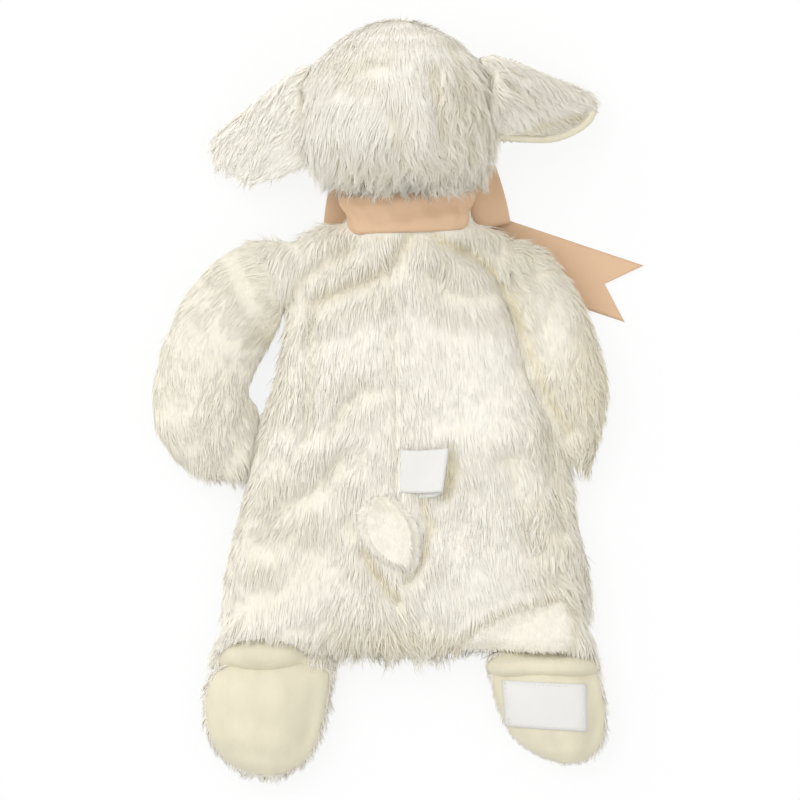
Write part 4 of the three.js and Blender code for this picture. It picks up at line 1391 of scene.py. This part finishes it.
class LAMB_OT_feet(bpy.types.Operator):
    """Makes the feet: velour soles and cuffs, with plush round their edges"""

    bl_idname = "lamb.feet"
    bl_label = "Feet"

    def execute(self, context):
        for i, side in enumerate(SIDES):
            foot = f"foot_{side}"
            bend = zone(foot + "_fold", 2.5 * MM, 8 * MM)
            low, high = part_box(f"leg_{side}_cuff")
            half = (high.x - low.x) / 2
            middle = ((low + high) / 2).x
            stub = ((middle, ANKLE_Y, 8.6 * MM), (half - 1.5 * MM, 6 * MM, 7.6 * MM), 0.0)
            nodes = [f"{foot}_{part}" for part in ("sole", "plush", "filling")]
            skin = soft_skin(foot, nodes, 1.8 * MM, 1.6 * MM, [stub], rounds=5)
            swell(skin, 1.0)
            press_folds(skin, SOLE_FOLDS[side], 11 * MM)
            add_puffs(skin, 11 * MM, 0.8 * MM, 3.0 if side == "left" else 12.0)
            seam_z = BODY_SEAM_Z + (2.4 if side == "left" else 2.0) * MM
            sole, under = above(skin, seam_z), below(skin, seam_z)
            add_piece(foot + "_sole_cover", sole, "velour_sole", bend, [foot + "_sole"])
            add_piece(foot + "_plush_cover", under, "plush_backing", bend, [foot + "_plush"])
            points, normals = points_of(skin), normals_of(skin)
            outward = normals.copy()
            outward[:, 2] = 0
            comb = normalised(outward) * 0.5
            comb[:, 1] -= 0.75
            comb[:, 2] -= 0.1
            comb += wander(points, (0.4, 9, 2.0 + i))
            lower = np.clip((seam_z + 0.5 * MM - points[:, 2]) / (1.0 * MM), 0, 1)
            furry = 1.0 if side == "left" else ramp(points[:, 0] / MM, 74, 6)
            reach = (0.26 + 0.34 * furry) * (1 - 0.4 * np.clip(-normals[:, 1], 0, 1))
            describe_skin(skin, comb, lower * (0.35 + 0.65 * at_edge(normals, 1)), reach, 0.9)
            grow_pile(foot + "_pile", skin, bend, 1.3, 120 + 5 * i,
                      lambda c: c.z < seam_z and c.y < ANKLE_Y + 3 * MM, Lift=0.5)
            self.make_cuff(side, i)
        return {"FINISHED"}

    def make_cuff(self, side, index):
        """The fold of velour above the sole, and the plush of the leg below it."""
        leg = f"leg_{side}"
        low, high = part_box(leg + "_cuff")
        (x, y), (wide, long) = CUFF_LENSES[side]
        if side == "left":
            stubs = [(mm(x, y, 9.6), mm(wide + 1, long + 0.4, 9.2), 0.0)]
        else:
            stubs = [(mm(x + step, y, 9.6), mm(12.5, long + 0.6, 9.2), 0.0)
                     for step in (-10.5, -3.5, 3.5, 10.5)]
        middle = (low.x + high.x) / 2 / MM
        half = (high.x - low.x) / 2 / MM
        for step in (-0.5, 0.0, 0.5):
            stubs.append((mm(middle + step * half, -104.5, 7.5), mm(0.48 * half, 5, 5.5), 0.0))
        skin = soft_skin(leg, [leg + "_plush"], 1.3 * MM, 0.5 * MM, stubs, rounds=3)
        cuff, under = above(skin, BODY_SEAM_Z + MM), below(skin, BODY_SEAM_Z + MM)
        add_piece(leg + "_cuff_cover", cuff, "velour_sole", "torso", [leg + "_cuff"])
        add_piece(leg + "_plush_cover", under, "plush_backing", "torso", [leg + "_plush"])
        points, normals = points_of(skin), normals_of(skin)
        comb = normals * 0.4 + np.array([0, -0.8, -0.1]) + wander(points, (0.4, 9, 5.0 + index))
        lower = np.clip((BODY_SEAM_Z + 1.5 * MM - points[:, 2]) / (1.0 * MM), 0, 1)
        ends = ramp(np.abs(points[:, 0] / MM - x), wide, 1.5)
        describe_skin(skin, comb, np.maximum(lower, ends), 0.5 + 0.2 * ends, 0.7 + 0.3 * ends)
        grow_pile(leg + "_pile", skin, "torso", 0.9, 140 + 5 * index, Lift=0.5)


# Tail


# The seam along the tail's right side, and the hollow of its middle, each with painted shade
TAIL_FOLDS = [
    ([(-6.5, -39), (-2, -44), (1.5, -50), (4.5, -56)], 0.35, 0.9, 0.45),
    ([(-6, -46), (-7.5, -52), (-5, -60)], 0.6, 3.4, 0.1),
]


class LAMB_OT_tail(bpy.types.Operator):
    """Makes the short flat tail: a fluffy rim round a smoother middle"""

    bl_idname = "lamb.tail"
    bl_label = "Tail"

    def execute(self, context):
        bend = zone("tail_flip", 1.5 * MM, 6 * MM)
        core = soft_skin("tail", ["tail_plush", "tail_panel"], 0.9 * MM, 0.3 * MM, rounds=4)
        points = points_of(core)
        low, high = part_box("tail_plush")
        points[:, 2] = np.minimum(points[:, 2], high.z + 0.12 * (points[:, 2] - high.z))
        set_points(core, points)
        press_folds(core, TAIL_FOLDS, low.z)
        smooth_points(core, 5)
        points, normals = points_of(core), normals_of(core)
        middle = np.array([(low.x + high.x) / 2, (low.y + high.y) / 2])
        away = points[:, :2] - middle
        rim = ramp(np.hypot(away[:, 0] / (11.5 * MM), away[:, 1] / (14.5 * MM)), 0.62, 0.22)
        comb = np.zeros((len(points), 3))
        comb[:, :2] = 0.9 * normalised(away) * rim[:, None]
        comb[:, 1] -= 0.8
        comb += wander(points, (0.3, 6, 3.0))
        upper = ramp(normals[:, 2], -0.6, 0.5)
        grow = (0.7 + 0.3 * rim) * (0.5 + 0.5 * upper)
        reach = (0.2 + 0.16 * rim) * (0.6 + 0.4 * upper)
        # painted shade: the seam and hollow, over an even 0.12
        describe_skin(core, comb, grow, reach, 0.1 + 0.45 * rim, fold_shade(points, TAIL_FOLDS) + 0.12)
        grow_pile("tail_pile", core, bend, 2.2, 160, Lift=0.45, Width=0.4 * MM)
        add_piece("tail_cover", core, "plush_backing", bend, ["tail_plush", "tail_panel"])
        return {"FINISHED"}


# Ribbon, labels and stitches


def resampled(points, count):
    """A smooth line of evenly spread points through the given ones."""
    points = np.asarray(points, float)
    steps = np.r_[0, np.cumsum(np.linalg.norm(np.diff(points, axis=0), axis=1))]
    padded = np.vstack([2 * points[0] - points[1], points, 2 * points[-1] - points[-2]])
    out = []
    for distance in np.linspace(0, steps[-1], count):
        i = min(int(np.searchsorted(steps, distance, "right")) - 1, len(points) - 2)
        t = (distance - steps[i]) / max(steps[i + 1] - steps[i], 1e-9)
        a, b, c, d = padded[i:i + 4]
        out.append(0.5 * (2 * b + (c - a) * t + (2 * a - 5 * b + 4 * c - d) * t**2
                          + (3 * b - a - 3 * c + d) * t**3))
    return np.array(out)


def sheet_mesh(name, grid, thickness, ring=False):
    """A thin closed sheet round a grid of middle points (rows along it, columns across), in millimetres.

    Its map is in centimetres of cloth: across, then along. A ring joins its last row to its first."""
    grid = np.asarray(grid, float)
    rows, columns = grid.shape[:2]
    if ring:
        along = (np.roll(grid, -1, 0) - np.roll(grid, 1, 0)) / 2
    else:
        along = np.gradient(grid, axis=0)
    normals = np.cross(np.gradient(grid, axis=1), along)
    normals /= np.maximum(np.linalg.norm(normals, axis=2, keepdims=True), 1e-9)
    upper, lower = grid + normals * thickness / 2, grid - normals * thickness / 2
    bm = bmesh.new()
    layer = bm.loops.layers.uv.new("UVMap")
    verts = [[[bm.verts.new(p * MM) for p in row] for row in side] for side in (upper, lower)]
    across = np.r_[0, np.cumsum(np.linalg.norm(np.diff(grid, axis=1), axis=2).mean(0))]
    ends = np.concatenate([grid, grid[:1]]) if ring else grid
    lengths = np.linalg.norm(np.diff(ends, axis=0), axis=2).mean(1)
    length = np.r_[0, np.cumsum(lengths)]

    def face(corners, places):
        made = bm.faces.new(corners)
        made.smooth = True
        for loop, (u, v) in zip(made.loops, places):
            loop[layer].uv = (u / 10, v / 10)

    for i in range(rows if ring else rows - 1):
        k = (i + 1) % rows
        for j in range(columns - 1):
            spots = [(across[j], length[i]), (across[j + 1], length[i]),
                     (across[j + 1], length[i + 1]), (across[j], length[i + 1])]
            a, b = verts
            face([a[i][j], a[i][j + 1], a[k][j + 1], a[k][j]], spots)
            face([b[k][j], b[k][j + 1], b[i][j + 1], b[i][j]], spots[::-1])
        for j, flip in ((0, False), (columns - 1, True)):
            corners = [verts[0][k][j], verts[1][k][j], verts[1][i][j], verts[0][i][j]]
            spots = [(across[j], length[i + 1])] * 2 + [(across[j], length[i])] * 2
            face(corners[::-1] if flip else corners, spots)
    if not ring:
        for i, flip in ((0, True), (rows - 1, False)):
            for j in range(columns - 1):
                corners = [verts[0][i][j], verts[0][i][j + 1], verts[1][i][j + 1], verts[1][i][j]]
                spots = [(across[j], length[i]), (across[j + 1], length[i])] * 2
                face(corners[::-1] if flip else corners, spots)
    bmesh.ops.recalc_face_normals(bm, faces=bm.faces)
    return mesh_of(bm, name)


STITCH_INPUTS = {
    "Spacing": ("NodeSocketFloat", 0.0022),
    "Length": ("NodeSocketFloat", 0.0017),
    "Thickness": ("NodeSocketFloat", 0.0004),
    "Turn": ("NodeSocketFloat", 0.0),
    "Untidiness": ("NodeSocketFloat", 0.06),
    "Seed": ("NodeSocketInt", 3),
    "Material": ("NodeSocketMaterial", None),
}


def stitch_tree():
    """Stitches at even steps along lines that carry the direction "up" of the cloth under them."""
    known = bpy.data.node_groups.get("stitch_tree")
    if known:
        return known
    t = NodeTree("stitch_tree", STITCH_INPUTS)
    curve = t.add("GeometryNodeMeshToCurve", {"Mesh": t.source["Geometry"]}).outputs[0]
    points = t.add("GeometryNodeCurveToPoints", {
        "Curve": curve, "Length": t.source["Spacing"]}, mode="LENGTH").outputs
    ball = t.add("GeometryNodeMeshUVSphere", {"Segments": 6, "Rings": 5, "Radius": 0.5}).outputs["Mesh"]
    size = t.combined(t.source["Length"], t.source["Thickness"], t.source["Thickness"])
    stitch = t.add("GeometryNodeTransform", {"Geometry": ball, "Scale": size}).outputs[0]
    aim = t.add("FunctionNodeAlignRotationToVector", {"Vector": points["Tangent"]}, axis="X").outputs[0]
    level = t.add("FunctionNodeAlignRotationToVector", {
        "Rotation": aim, "Vector": t.arrow("up")}, axis="Z", pivot_axis="X").outputs[0]
    stray = (t.parts(t.random(t.source["Seed"]))[0] - 0.5) * t.given("Untidiness")
    turn = t.combined(0.0, 0.0, t.given("Turn") + stray)
    turned = t.add("FunctionNodeRotateRotation", {
        "Rotation": level, "Rotate By": turn}, rotation_space="LOCAL").outputs[0]
    rows = t.add("GeometryNodeInstanceOnPoints", {
        "Points": points["Points"], "Instance": stitch, "Rotation": turned}).outputs[0]
    t.end(rows, t.source["Material"])
    return t.tree


def sew(name, lines, finish, home, replaces=(), **sizes):
    """Adds stitches along lines of (place, up) pairs, as one piece."""
    points = [place for line in lines for place, _ in line]
    ups = [tuple(up) for line in lines for _, up in line]
    edges, start = [], 0
    for line in lines:
        edges += [(start + i, start + i + 1) for i in range(len(line) - 1)]
        start += len(line)
    mesh = bpy.data.meshes.new(name)
    mesh.from_pydata([tuple(p) for p in points], edges, [])
    attribute(mesh, "up", "FLOAT_VECTOR", ups)
    source = add_object(name + "_lines", mesh)
    sizes = {label: value * MM if label != "Turn" else value for label, value in sizes.items()}
    return add_piece(name, grown(source, stitch_tree(), finish, sizes), finish, home, replaces)


def tree_of(*meshes):
    """Finds places on some meshes."""
    bm = bmesh_of(*meshes)
    tree = BVHTree.FromBMesh(bm)
    bm.free()
    return tree


def on_surface(meshes, places, direction=(0, 0, -1), lift=0.0):
    """Where lines of sight in a direction meet one of some meshes: (place, normal) pairs."""
    tree, ray = tree_of(*meshes), Vector(direction)
    found = []
    for x, y in places:
        place, normal, _, _ = tree.ray_cast(Vector((x, y, 0)) * MM - ray * SIGHT_START, ray)
        if place is not None:
            if normal.dot(ray) > 0:
                normal.negate()
            found.append((place + normal * lift, normal))
    return found


def add_sheet(name, grid, finish, home, node, ring=False):
    """Adds a thin piece round a grid of middle points, in place of a node."""
    cloth = settings().lamb_cloth
    thickness = cloth.tape_thickness if finish == "label_weave" else cloth.ribbon_thickness
    return add_piece(name, sheet_mesh(name, grid, thickness / MM, ring), finish, home, [node])


# The loops' angles round the knot in degrees and their reaches in millimetres, and the ends' angles
LOOPS = {"left": (172, 34), "right": (15, 39)}
RIBBON_ENDS = {"left": -122, "right": -18.5}


def ribbon_width(distance):
    """Half the ribbon's width at a distance from the knot, gathered where it enters the knot."""
    t = ramp(distance, 7.6, 22)
    return (9 + 15 * t * t * (3 - 2 * t)) / 2


def from_knot(angle, distance, offset):
    a = math.radians(angle)
    x = KNOT[0] + distance * math.cos(a) - offset * math.sin(a)
    y = KNOT[1] + distance * math.sin(a) + offset * math.cos(a)
    return x, y


class LAMB_OT_ribbon(bpy.types.Operator):
    """Makes the ribbon: the band round the neck, the bow's knot and loops, and its two ends"""

    bl_idname = "lamb.ribbon"
    bl_label = "Ribbon"

    def execute(self, context):
        self.band()
        self.knot()
        for side in SIDES:
            self.loop(side)
            self.end(side)
        return {"FINISHED"}

    def band(self):
        """The ribbon's own width gathered into a narrower band, its edges turned in."""
        rows, columns = 96, 21
        grid = np.zeros((rows, columns, 3))
        for i in range(rows):
            angle = 2 * math.pi * i / rows
            for j in range(columns):
                v = j / (columns - 1)
                roll = 1.6 * (2 * v - 1) ** 12
                crease = 0.75 * math.sin(9.4 * v + 1.6 * math.sin(2 * angle)) * math.sin(math.pi * v)
                ripple = 0.35 * math.sin(13 * angle + 5 * v) + 0.24 * math.sin(29 * angle - 3 * v)
                out = crease + ripple * math.sin(math.pi * v) - roll
                centre = BAND_X + 1.2 * v
                wide, high = 27.6 - BAND_TAPER * v + out, 8.9 + out
                c, s = math.cos(angle), math.sin(angle)
                c_round = math.copysign(abs(c) ** 0.86, c)
                s_round = math.copysign(abs(s) ** 0.86, s)
                top = BAND_TOP + 1.0 * c_round + 0.15 * math.sin(5 * angle)
                bottom = 67.0 + 0.9 * c_round + 0.2 * math.sin(3 * angle + 1)
                y = top + (bottom - top) * (0.5 + 0.5 * (2 * v - 1) * (1.06 - 0.06 * (2 * v - 1) ** 2))
                grid[i, j] = (centre + wide * c_round, y, BAND_Z + high * s_round)
        piece = add_sheet("neck_ribbon_band", grid, "ribbon_weave", "torso", "neck_ribbon", ring=True)

    def knot(self):
        """The ribbon drawn once round the bow's middle, in soft pleats."""
        low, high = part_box("bow_knot")
        centre, half = (low + high) / 2, (high - low) / 2
        bm = bmesh.new()
        bmesh.ops.create_icosphere(bm, subdivisions=5, radius=1.0)
        for vert in bm.verts:
            p = vert.co.copy()
            for axis in range(3):
                p[axis] = math.copysign(abs(p[axis]) ** (0.8 if axis < 2 else 0.7), p[axis])
            pleats = 0.05 * math.sin(11 * p.x + 1.5 * p.y) + 0.03 * math.sin(23 * p.x - 2 * p.y)
            squeeze = 1 - 0.12 * math.exp(-((p.y / 0.35) ** 2))
            p.x *= 0.92 * squeeze
            p.z *= 0.9 + pleats
            vert.co = centre + Vector((p.x * half.x, p.y * half.y, p.z * half.z))
        layer = bm.loops.layers.uv.new("UVMap")
        for face in bm.faces:
            for loop in face.loops:
                spot = (loop.vert.co - centre) / MM
                loop[layer].uv = (spot.x / 10, (spot.y + spot.z) / 10)
        wrap = mesh_of(bm, "bow_knot_wrap")
        add_piece("bow_knot_wrap", wrap, "ribbon_weave", "torso", ["bow_knot"])

    def loop(self, side):
        """A flat loop of ribbon that opens a little at its far end."""
        angle, reach = LOOPS[side]
        start = 8.0
        rows, columns = 56, 13
        grid = np.zeros((rows, columns, 3))
        for i in range(rows):
            turn = 2 * math.pi * i / rows
            share = (1 - math.cos(turn)) / 2
            distance = start + (reach - start) * share
            for j in range(columns):
                v = 2 * j / (columns - 1) - 1
                half = ribbon_width(distance)
                x, y = from_knot(angle, distance - 0.6 * v * v * share, v * half)
                fan = 0.35 * math.cos(4.2 * v * math.pi) * (1 - share)
                lift = 2.8 + 1.2 * math.sin(turn) * (0.45 + share) + fan + 0.3 * math.sin(3 * v + 2 * share)
                hump = 3.2 * math.exp(-(((distance - 25) / 8) ** 2)) * (side == "right")
                grid[i, j] = (x, y, max(lift + hump + 0.3 * share, 0.9))
        name = f"bow_loop_{side}"
        piece = add_sheet(name + "_fold", grid, "ribbon_weave", "torso", name, ring=True)

    def end(self, side):
        """A free end with its swallow-tail cut, lying on the floor in a low wave."""
        angle = RIBBON_ENDS[side]
        rows, columns = 72, 17
        grid = np.zeros((rows, columns, 3))
        for i in range(rows):
            t = i / (rows - 1)
            for j in range(columns):
                v = 2 * j / (columns - 1) - 1
                cut_back = 12.5 * (1 - abs(v)) * ramp(t, 0.55, 0.45)
                distance = 7.8 + (RIBBON_END - 7.8) * t - cut_back
                bend = 3.2 * ramp(distance, 40, 55) ** 2 * (side == "left")
                x, y = from_knot(angle + bend, distance, v * ribbon_width(distance))
                wave = 0.2 + 0.12 * ramp(distance, 70, 15)
                wave *= (1 + math.sin(distance / 6.5 + 0.8 * v)) * ramp(distance, 34, 30)
                pleat = 0.25 * (1 + math.cos(3 * math.pi * v)) * ramp(distance, 24, -14)
                curl = 0.25 * ramp(distance, 78, 17) ** 2 * abs(v) ** 3
                grid[i, j] = (x, y, 0.32 + (wave + curl) * (side == "right") + pleat)
        name = f"ribbon_end_{side}"
        piece = add_sheet(name + "_tail", grid, "ribbon_weave", name, name)


class LAMB_OT_labels(bpy.types.Operator):
    """Makes the bare folded label in the back seam and the bare patch on the sole"""

    bl_idname = "lamb.labels"
    bl_label = "Labels"

    def execute(self, context):
        self.care_label()
        self.foot_label()
        return {"FINISHED"}

    def care_label(self):
        rows, columns = 15, 61
        grid = np.zeros((columns, rows, 3))
        for i in range(rows):
            v = i / (rows - 1)
            length = 20.4 - 2.6 * v
            upper = [(-0.4, 18.6), (0.1, 20.6), (1.8, 22.7), (5.5, 23.9), (11, 25.2), (length - 3, 27.0),
                     (length - 0.9, 27.6)]
            fold = [(length - 0.1, 27.2), (length, 26.7), (length - 0.4, 26.1)]
            lower = [(length - 2.4, 25.2), (10.5, 23.2), (5.2, 21.6), (1.4, 20.2), (0.4, 18.2)]
            path = resampled([(x, 0, z) for x, z in upper + fold + lower], columns)
            under = ramp(np.arange(columns) / (columns - 1), 0.5, 0.12)
            bend = 0.5 * np.sin(1.2 + 3 * v + path[:, 0] / 6)
            y = -19.6 - 17 * v - 1.9 * v * under - 0.5 * np.sin(path[:, 0] / 5)
            grid[:, i] = np.stack([path[:, 0], y, path[:, 2] + bend * np.clip(path[:, 0] / 8, 0, 1)], axis=1)
        piece = add_sheet("care_label_tape", grid, "label_weave", "care_label", "care_label")

    def foot_label(self):
        foot = [bpy.data.objects[f"foot_right_{part}_cover"].data for part in ("sole", "plush")]
        rows, columns = 15, 23
        shares = [(j / (columns - 1), i / (rows - 1)) for i in range(rows) for j in range(columns)]
        found = on_surface(foot, [self.spot(u, v) for u, v in shares], lift=0.35 * MM)
        grid = np.array([place / MM for place, _ in found]).reshape(rows, columns, 3)
        for _ in range(6):
            inner = grid[1:-1, 1:-1, 2]
            near = (grid[:-2, 1:-1, 2] + grid[2:, 1:-1, 2] + grid[1:-1, :-2, 2] + grid[1:-1, 2:, 2]) / 4
            grid[1:-1, 1:-1, 2] = np.maximum(near, inner)
        piece = add_sheet("foot_label_patch", grid, "label_weave", "foot_right", "foot_label")
        ring = [(0.035, 0.06), (0.965, 0.06), (0.965, 0.94), (0.035, 0.94), (0.035, 0.06)]
        lines = []
        for (u0, v0), (u1, v1) in zip(ring[:-1], ring[1:]):
            line = []
            for t in np.linspace(0, 1, 15):
                u, v = u0 + (u1 - u0) * t, v0 + (v1 - v0) * t
                height = grid[int(round(v * (rows - 1))), int(round(u * (columns - 1))), 2]
                line.append((mm(*self.spot(u, v), height) + mm(0, 0, 0.2), Vector((0, 0, 1))))
            lines.append(line)
        sew("foot_label_stitches", lines, "seam_thread", "foot_right", Spacing=1.9, Length=1.4,
            Thickness=0.28)

    def spot(self, u, v):
        """A place on the patch in plan, from its shares across and down."""
        corners = np.array([[(41.9, -112.0), (75.2, -113.6)], [(43.4, -130.2), (75.4, -132.3)]])
        top = corners[0, 0] * (1 - u) + corners[0, 1] * u
        bottom = corners[1, 0] * (1 - u) + corners[1, 1] * u
        return top * (1 - v) + bottom * v


class LAMB_OT_stitches(bpy.types.Operator):
    """Makes the stitched face and the stitches of the cuff seams"""

    bl_idname = "lamb.stitches"
    bl_label = "Stitches"

    def execute(self, context):
        self.face()
        self.cuff_seams()
        return {"FINISHED"}

    def face(self):
        """Closed eyes, a nose and a mouth in satin stitch on the velour face."""
        cover = bpy.data.objects["head_face_cover"].data
        eye = [(t, 0.9 - 1.0 * math.sin(math.pi * (t + 1) / 2)) for t in np.linspace(-1, 1, 25)]
        mouth = [(t, -0.9 + 1.7 * abs(math.sin(math.pi * t)) ** 0.9 * 0.9) for t in np.linspace(-1, 1, 33)]
        shapes = {"eye_left_embroidery": eye, "mouth_embroidery": mouth, "eye_right_embroidery": eye}
        for node, shape in shapes.items():
            low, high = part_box(node)
            centre, half = (low + high) / 2 / MM, (high - low) / 2 / MM
            places = [(centre.x + u * half.x * 0.95, centre.y + v * half.y * 0.75) for u, v in shape]
            line = on_surface([cover], places, (0, 0, 1), 0.15 * MM)
            width = 1.5 if node.startswith("eye") else 1.0
            sew(node + "_satin", [line], "face_thread", "head", [node], Spacing=0.3, Length=width,
                Thickness=0.5, Turn=math.pi / 2 - 0.2)
        low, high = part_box("nose_embroidery")
        centre, half = (low + high) / 2 / MM, (high - low) / 2 / MM
        lines = []
        for step in np.linspace(-1, 1, 9):
            wide = half.x * math.sqrt(max(0.05, 1 - (0.75 * step - 0.2) ** 2)) * (1 - 0.25 * (1 - step) / 2)
            row = [(centre.x + u * wide, centre.y + step * half.y * 0.85) for u in np.linspace(-1, 1, 9)]
            lines.append(on_surface([cover], row, (0, 0, 1), 0.2 * MM))
        sew("nose_embroidery_satin", lines, "face_thread", "head", ["nose_embroidery"], Spacing=0.45,
            Length=1.2, Thickness=0.55, Turn=math.pi / 2)

    def cuff_seams(self):
        """A row of seam stitches along the head side of each cuff."""
        for side in SIDES:
            cover = bpy.data.objects[f"leg_{side}_cuff_cover"].data
            (x, y), (wide, long) = CUFF_LENSES[side]
            places = [(x + wide * 0.72 * t, y + long * 0.8 * math.sqrt(1 - (0.72 * t) ** 2) - 0.4)
                      for t in np.linspace(-1, 1, 24)]
            line = on_surface([cover], places, lift=0.1 * MM)
            sew(f"leg_{side}_cuff_stitches", [line], "seam_thread", "torso", Spacing=2.4, Length=1.7,
                Thickness=0.32)


# Fillings


# How far the fibre reaches along the toy, clear of the bend at the neck, in millimetres
NECK_FILLINGS = {"body_filling": (-200, 60), "head_filling": (99, 200)}


class LAMB_OT_fillings(bpy.types.Operator):
    """Makes the loose fibre inside the stuffed parts"""

    bl_idname = "lamb.fillings"
    bl_label = "Fillings"

    def execute(self, context):
        homes = {
            "body_filling": ("torso", 3.2), "head_filling": ("head", 3.2),
            "arm_left_filling": ("arm_left", 3.0), "arm_right_filling": ("arm_right", 2.6),
            "foot_left_filling": ("foot_left", 1.6), "foot_right_filling": ("foot_right", 1.6),
        }
        for node, (body, inset) in homes.items():
            skin = soft_skin(node, [node], 2.4 * MM, inset * MM, rounds=3)
            points, normals = points_of(skin), normals_of(skin)
            lumps = noise_field(points, 9 * MM, 2.0)[:, 0] + 0.5 * noise_field(points, 4 * MM, 5.0)[:, 1]
            set_points(skin, points + normals * (0.7 * MM * (lumps - 0.4))[:, None])
            points = points_of(skin)
            if node in NECK_FILLINGS:
                low, high = NECK_FILLINGS[node]
                points[:, 1] = np.clip(points[:, 1], low * MM, high * MM)
                set_points(skin, points)
                smooth_points(skin, 2)
            add_piece(node + "_fibre", skin, "wadding", body, [node])
        return {"FINISHED"}


# Stage


class LAMB_OT_stage(bpy.types.Operator):
    """Makes the floor, the lights and the camera straight above"""

    bl_idname = "lamb.stage"
    bl_label = "Stage"

    def execute(self, context):
        scene = context.scene
        scene.view_settings.view_transform = "Standard"
        bm = bmesh.new()
        bmesh.ops.create_grid(bm, x_segments=1, y_segments=1, size=3.0)
        mesh = mesh_of(bm, "floor")
        mesh.materials.append(self.floor_material())
        add_object("floor", mesh)
        world = bpy.data.worlds.new("soft_box")
        scene.world = world
        world.use_nodes = True
        world.node_tree.nodes["Background"].inputs["Color"].default_value = (1, 1, 1, 1)
        world.node_tree.nodes["Background"].inputs["Strength"].default_value = WORLD_LIGHT
        self.add_lamp("key", mm(-700, 550, 1000), 1.5, 8.6)
        self.add_lamp("fill", mm(600, -300, 1000), 1.0, 1.5)
        camera = bpy.data.objects.new("camera", bpy.data.cameras.new("camera"))
        scene.collection.objects.link(camera)
        camera.location = (CAMERA_X, 0, CAMERA_HEIGHT)
        camera.data.lens = camera.data.sensor_width * (CAMERA_HEIGHT - 12 * MM) / VIEW_WIDTH
        camera.data.clip_end = 20
        scene.camera = camera
        return {"FINISHED"}

    def floor_material(self):
        """White to the camera, and an even pale grey to the light, with the object's shadow kept."""
        s = Shader("floor", 0.9, specular=0.5)
        s.colour((0.9, 0.9, 0.9))
        sight = s.add("ShaderNodeLightPath").outputs
        seen = sight["Is Camera Ray"]
        for kind in ("Is Glossy Ray", "Is Transmission Ray"):
            seen = s.math("MAXIMUM", seen, sight[kind])
        white = s.add("ShaderNodeEmission").outputs[0]
        mix = s.add("ShaderNodeMixShader", {0: seen * FLOOR_WHITE, 1: s.shader.outputs[0], 2: white})
        s.feed(s.tree.nodes["Material Output"].inputs["Surface"], mix.outputs[0])
        return s.material

    def add_lamp(self, name, place, size, power):
        data = bpy.data.lights.new(name, "AREA")
        data.shape = "DISK"
        data.size = size
        data.energy = power
        lamp = bpy.data.objects.new(name, data)
        bpy.context.scene.collection.objects.link(lamp)
        lamp.location = place
        lamp.rotation_euler = (-Vector(place)).to_track_quat("-Z", "Y").to_euler()


OPERATORS = (
    LAMB_OT_body, LAMB_OT_head, LAMB_OT_ears, LAMB_OT_arms, LAMB_OT_feet, LAMB_OT_tail, LAMB_OT_fillings,
    LAMB_OT_ribbon, LAMB_OT_labels, LAMB_OT_stitches, LAMB_OT_stage,
)
GROUPS = {"lamb_pile": LambPileSettings, "lamb_cloth": LambClothSettings, "lamb_colours": LambColourSettings}


class LAMB_PT_panel(bpy.types.Panel):
    """Lists the lamb's pieces and settings in the sidebar"""

    bl_label = "Lamb Comforter"
    bl_idname = "LAMB_PT_panel"
    bl_space_type = "VIEW_3D"
    bl_region_type = "UI"
    bl_category = "Lamb"

    def draw(self, context):
        for group in GROUPS:
            box = self.layout.box()
            holder = getattr(context.scene, group)
            for name in holder.__annotations__:
                box.prop(holder, name)
        for operator in OPERATORS:
            self.layout.operator(operator.bl_idname)


def register():
    for group in GROUPS.values():
        bpy.utils.register_class(group)
    for name, group in GROUPS.items():
        setattr(bpy.types.Scene, name, bpy.props.PointerProperty(type=group))
    for operator in (*OPERATORS, LAMB_PT_panel):
        bpy.utils.register_class(operator)


def unregister():
    for operator in reversed((*OPERATORS, LAMB_PT_panel)):
        bpy.utils.unregister_class(operator)
    for name, group in GROUPS.items():
        delattr(bpy.types.Scene, name)
        bpy.utils.unregister_class(group)


def main():
    register()
    for operator in OPERATORS:
        family, name = operator.bl_idname.split(".")
        getattr(getattr(bpy.ops, family), name)()


if __name__ == "__main__":
    main()
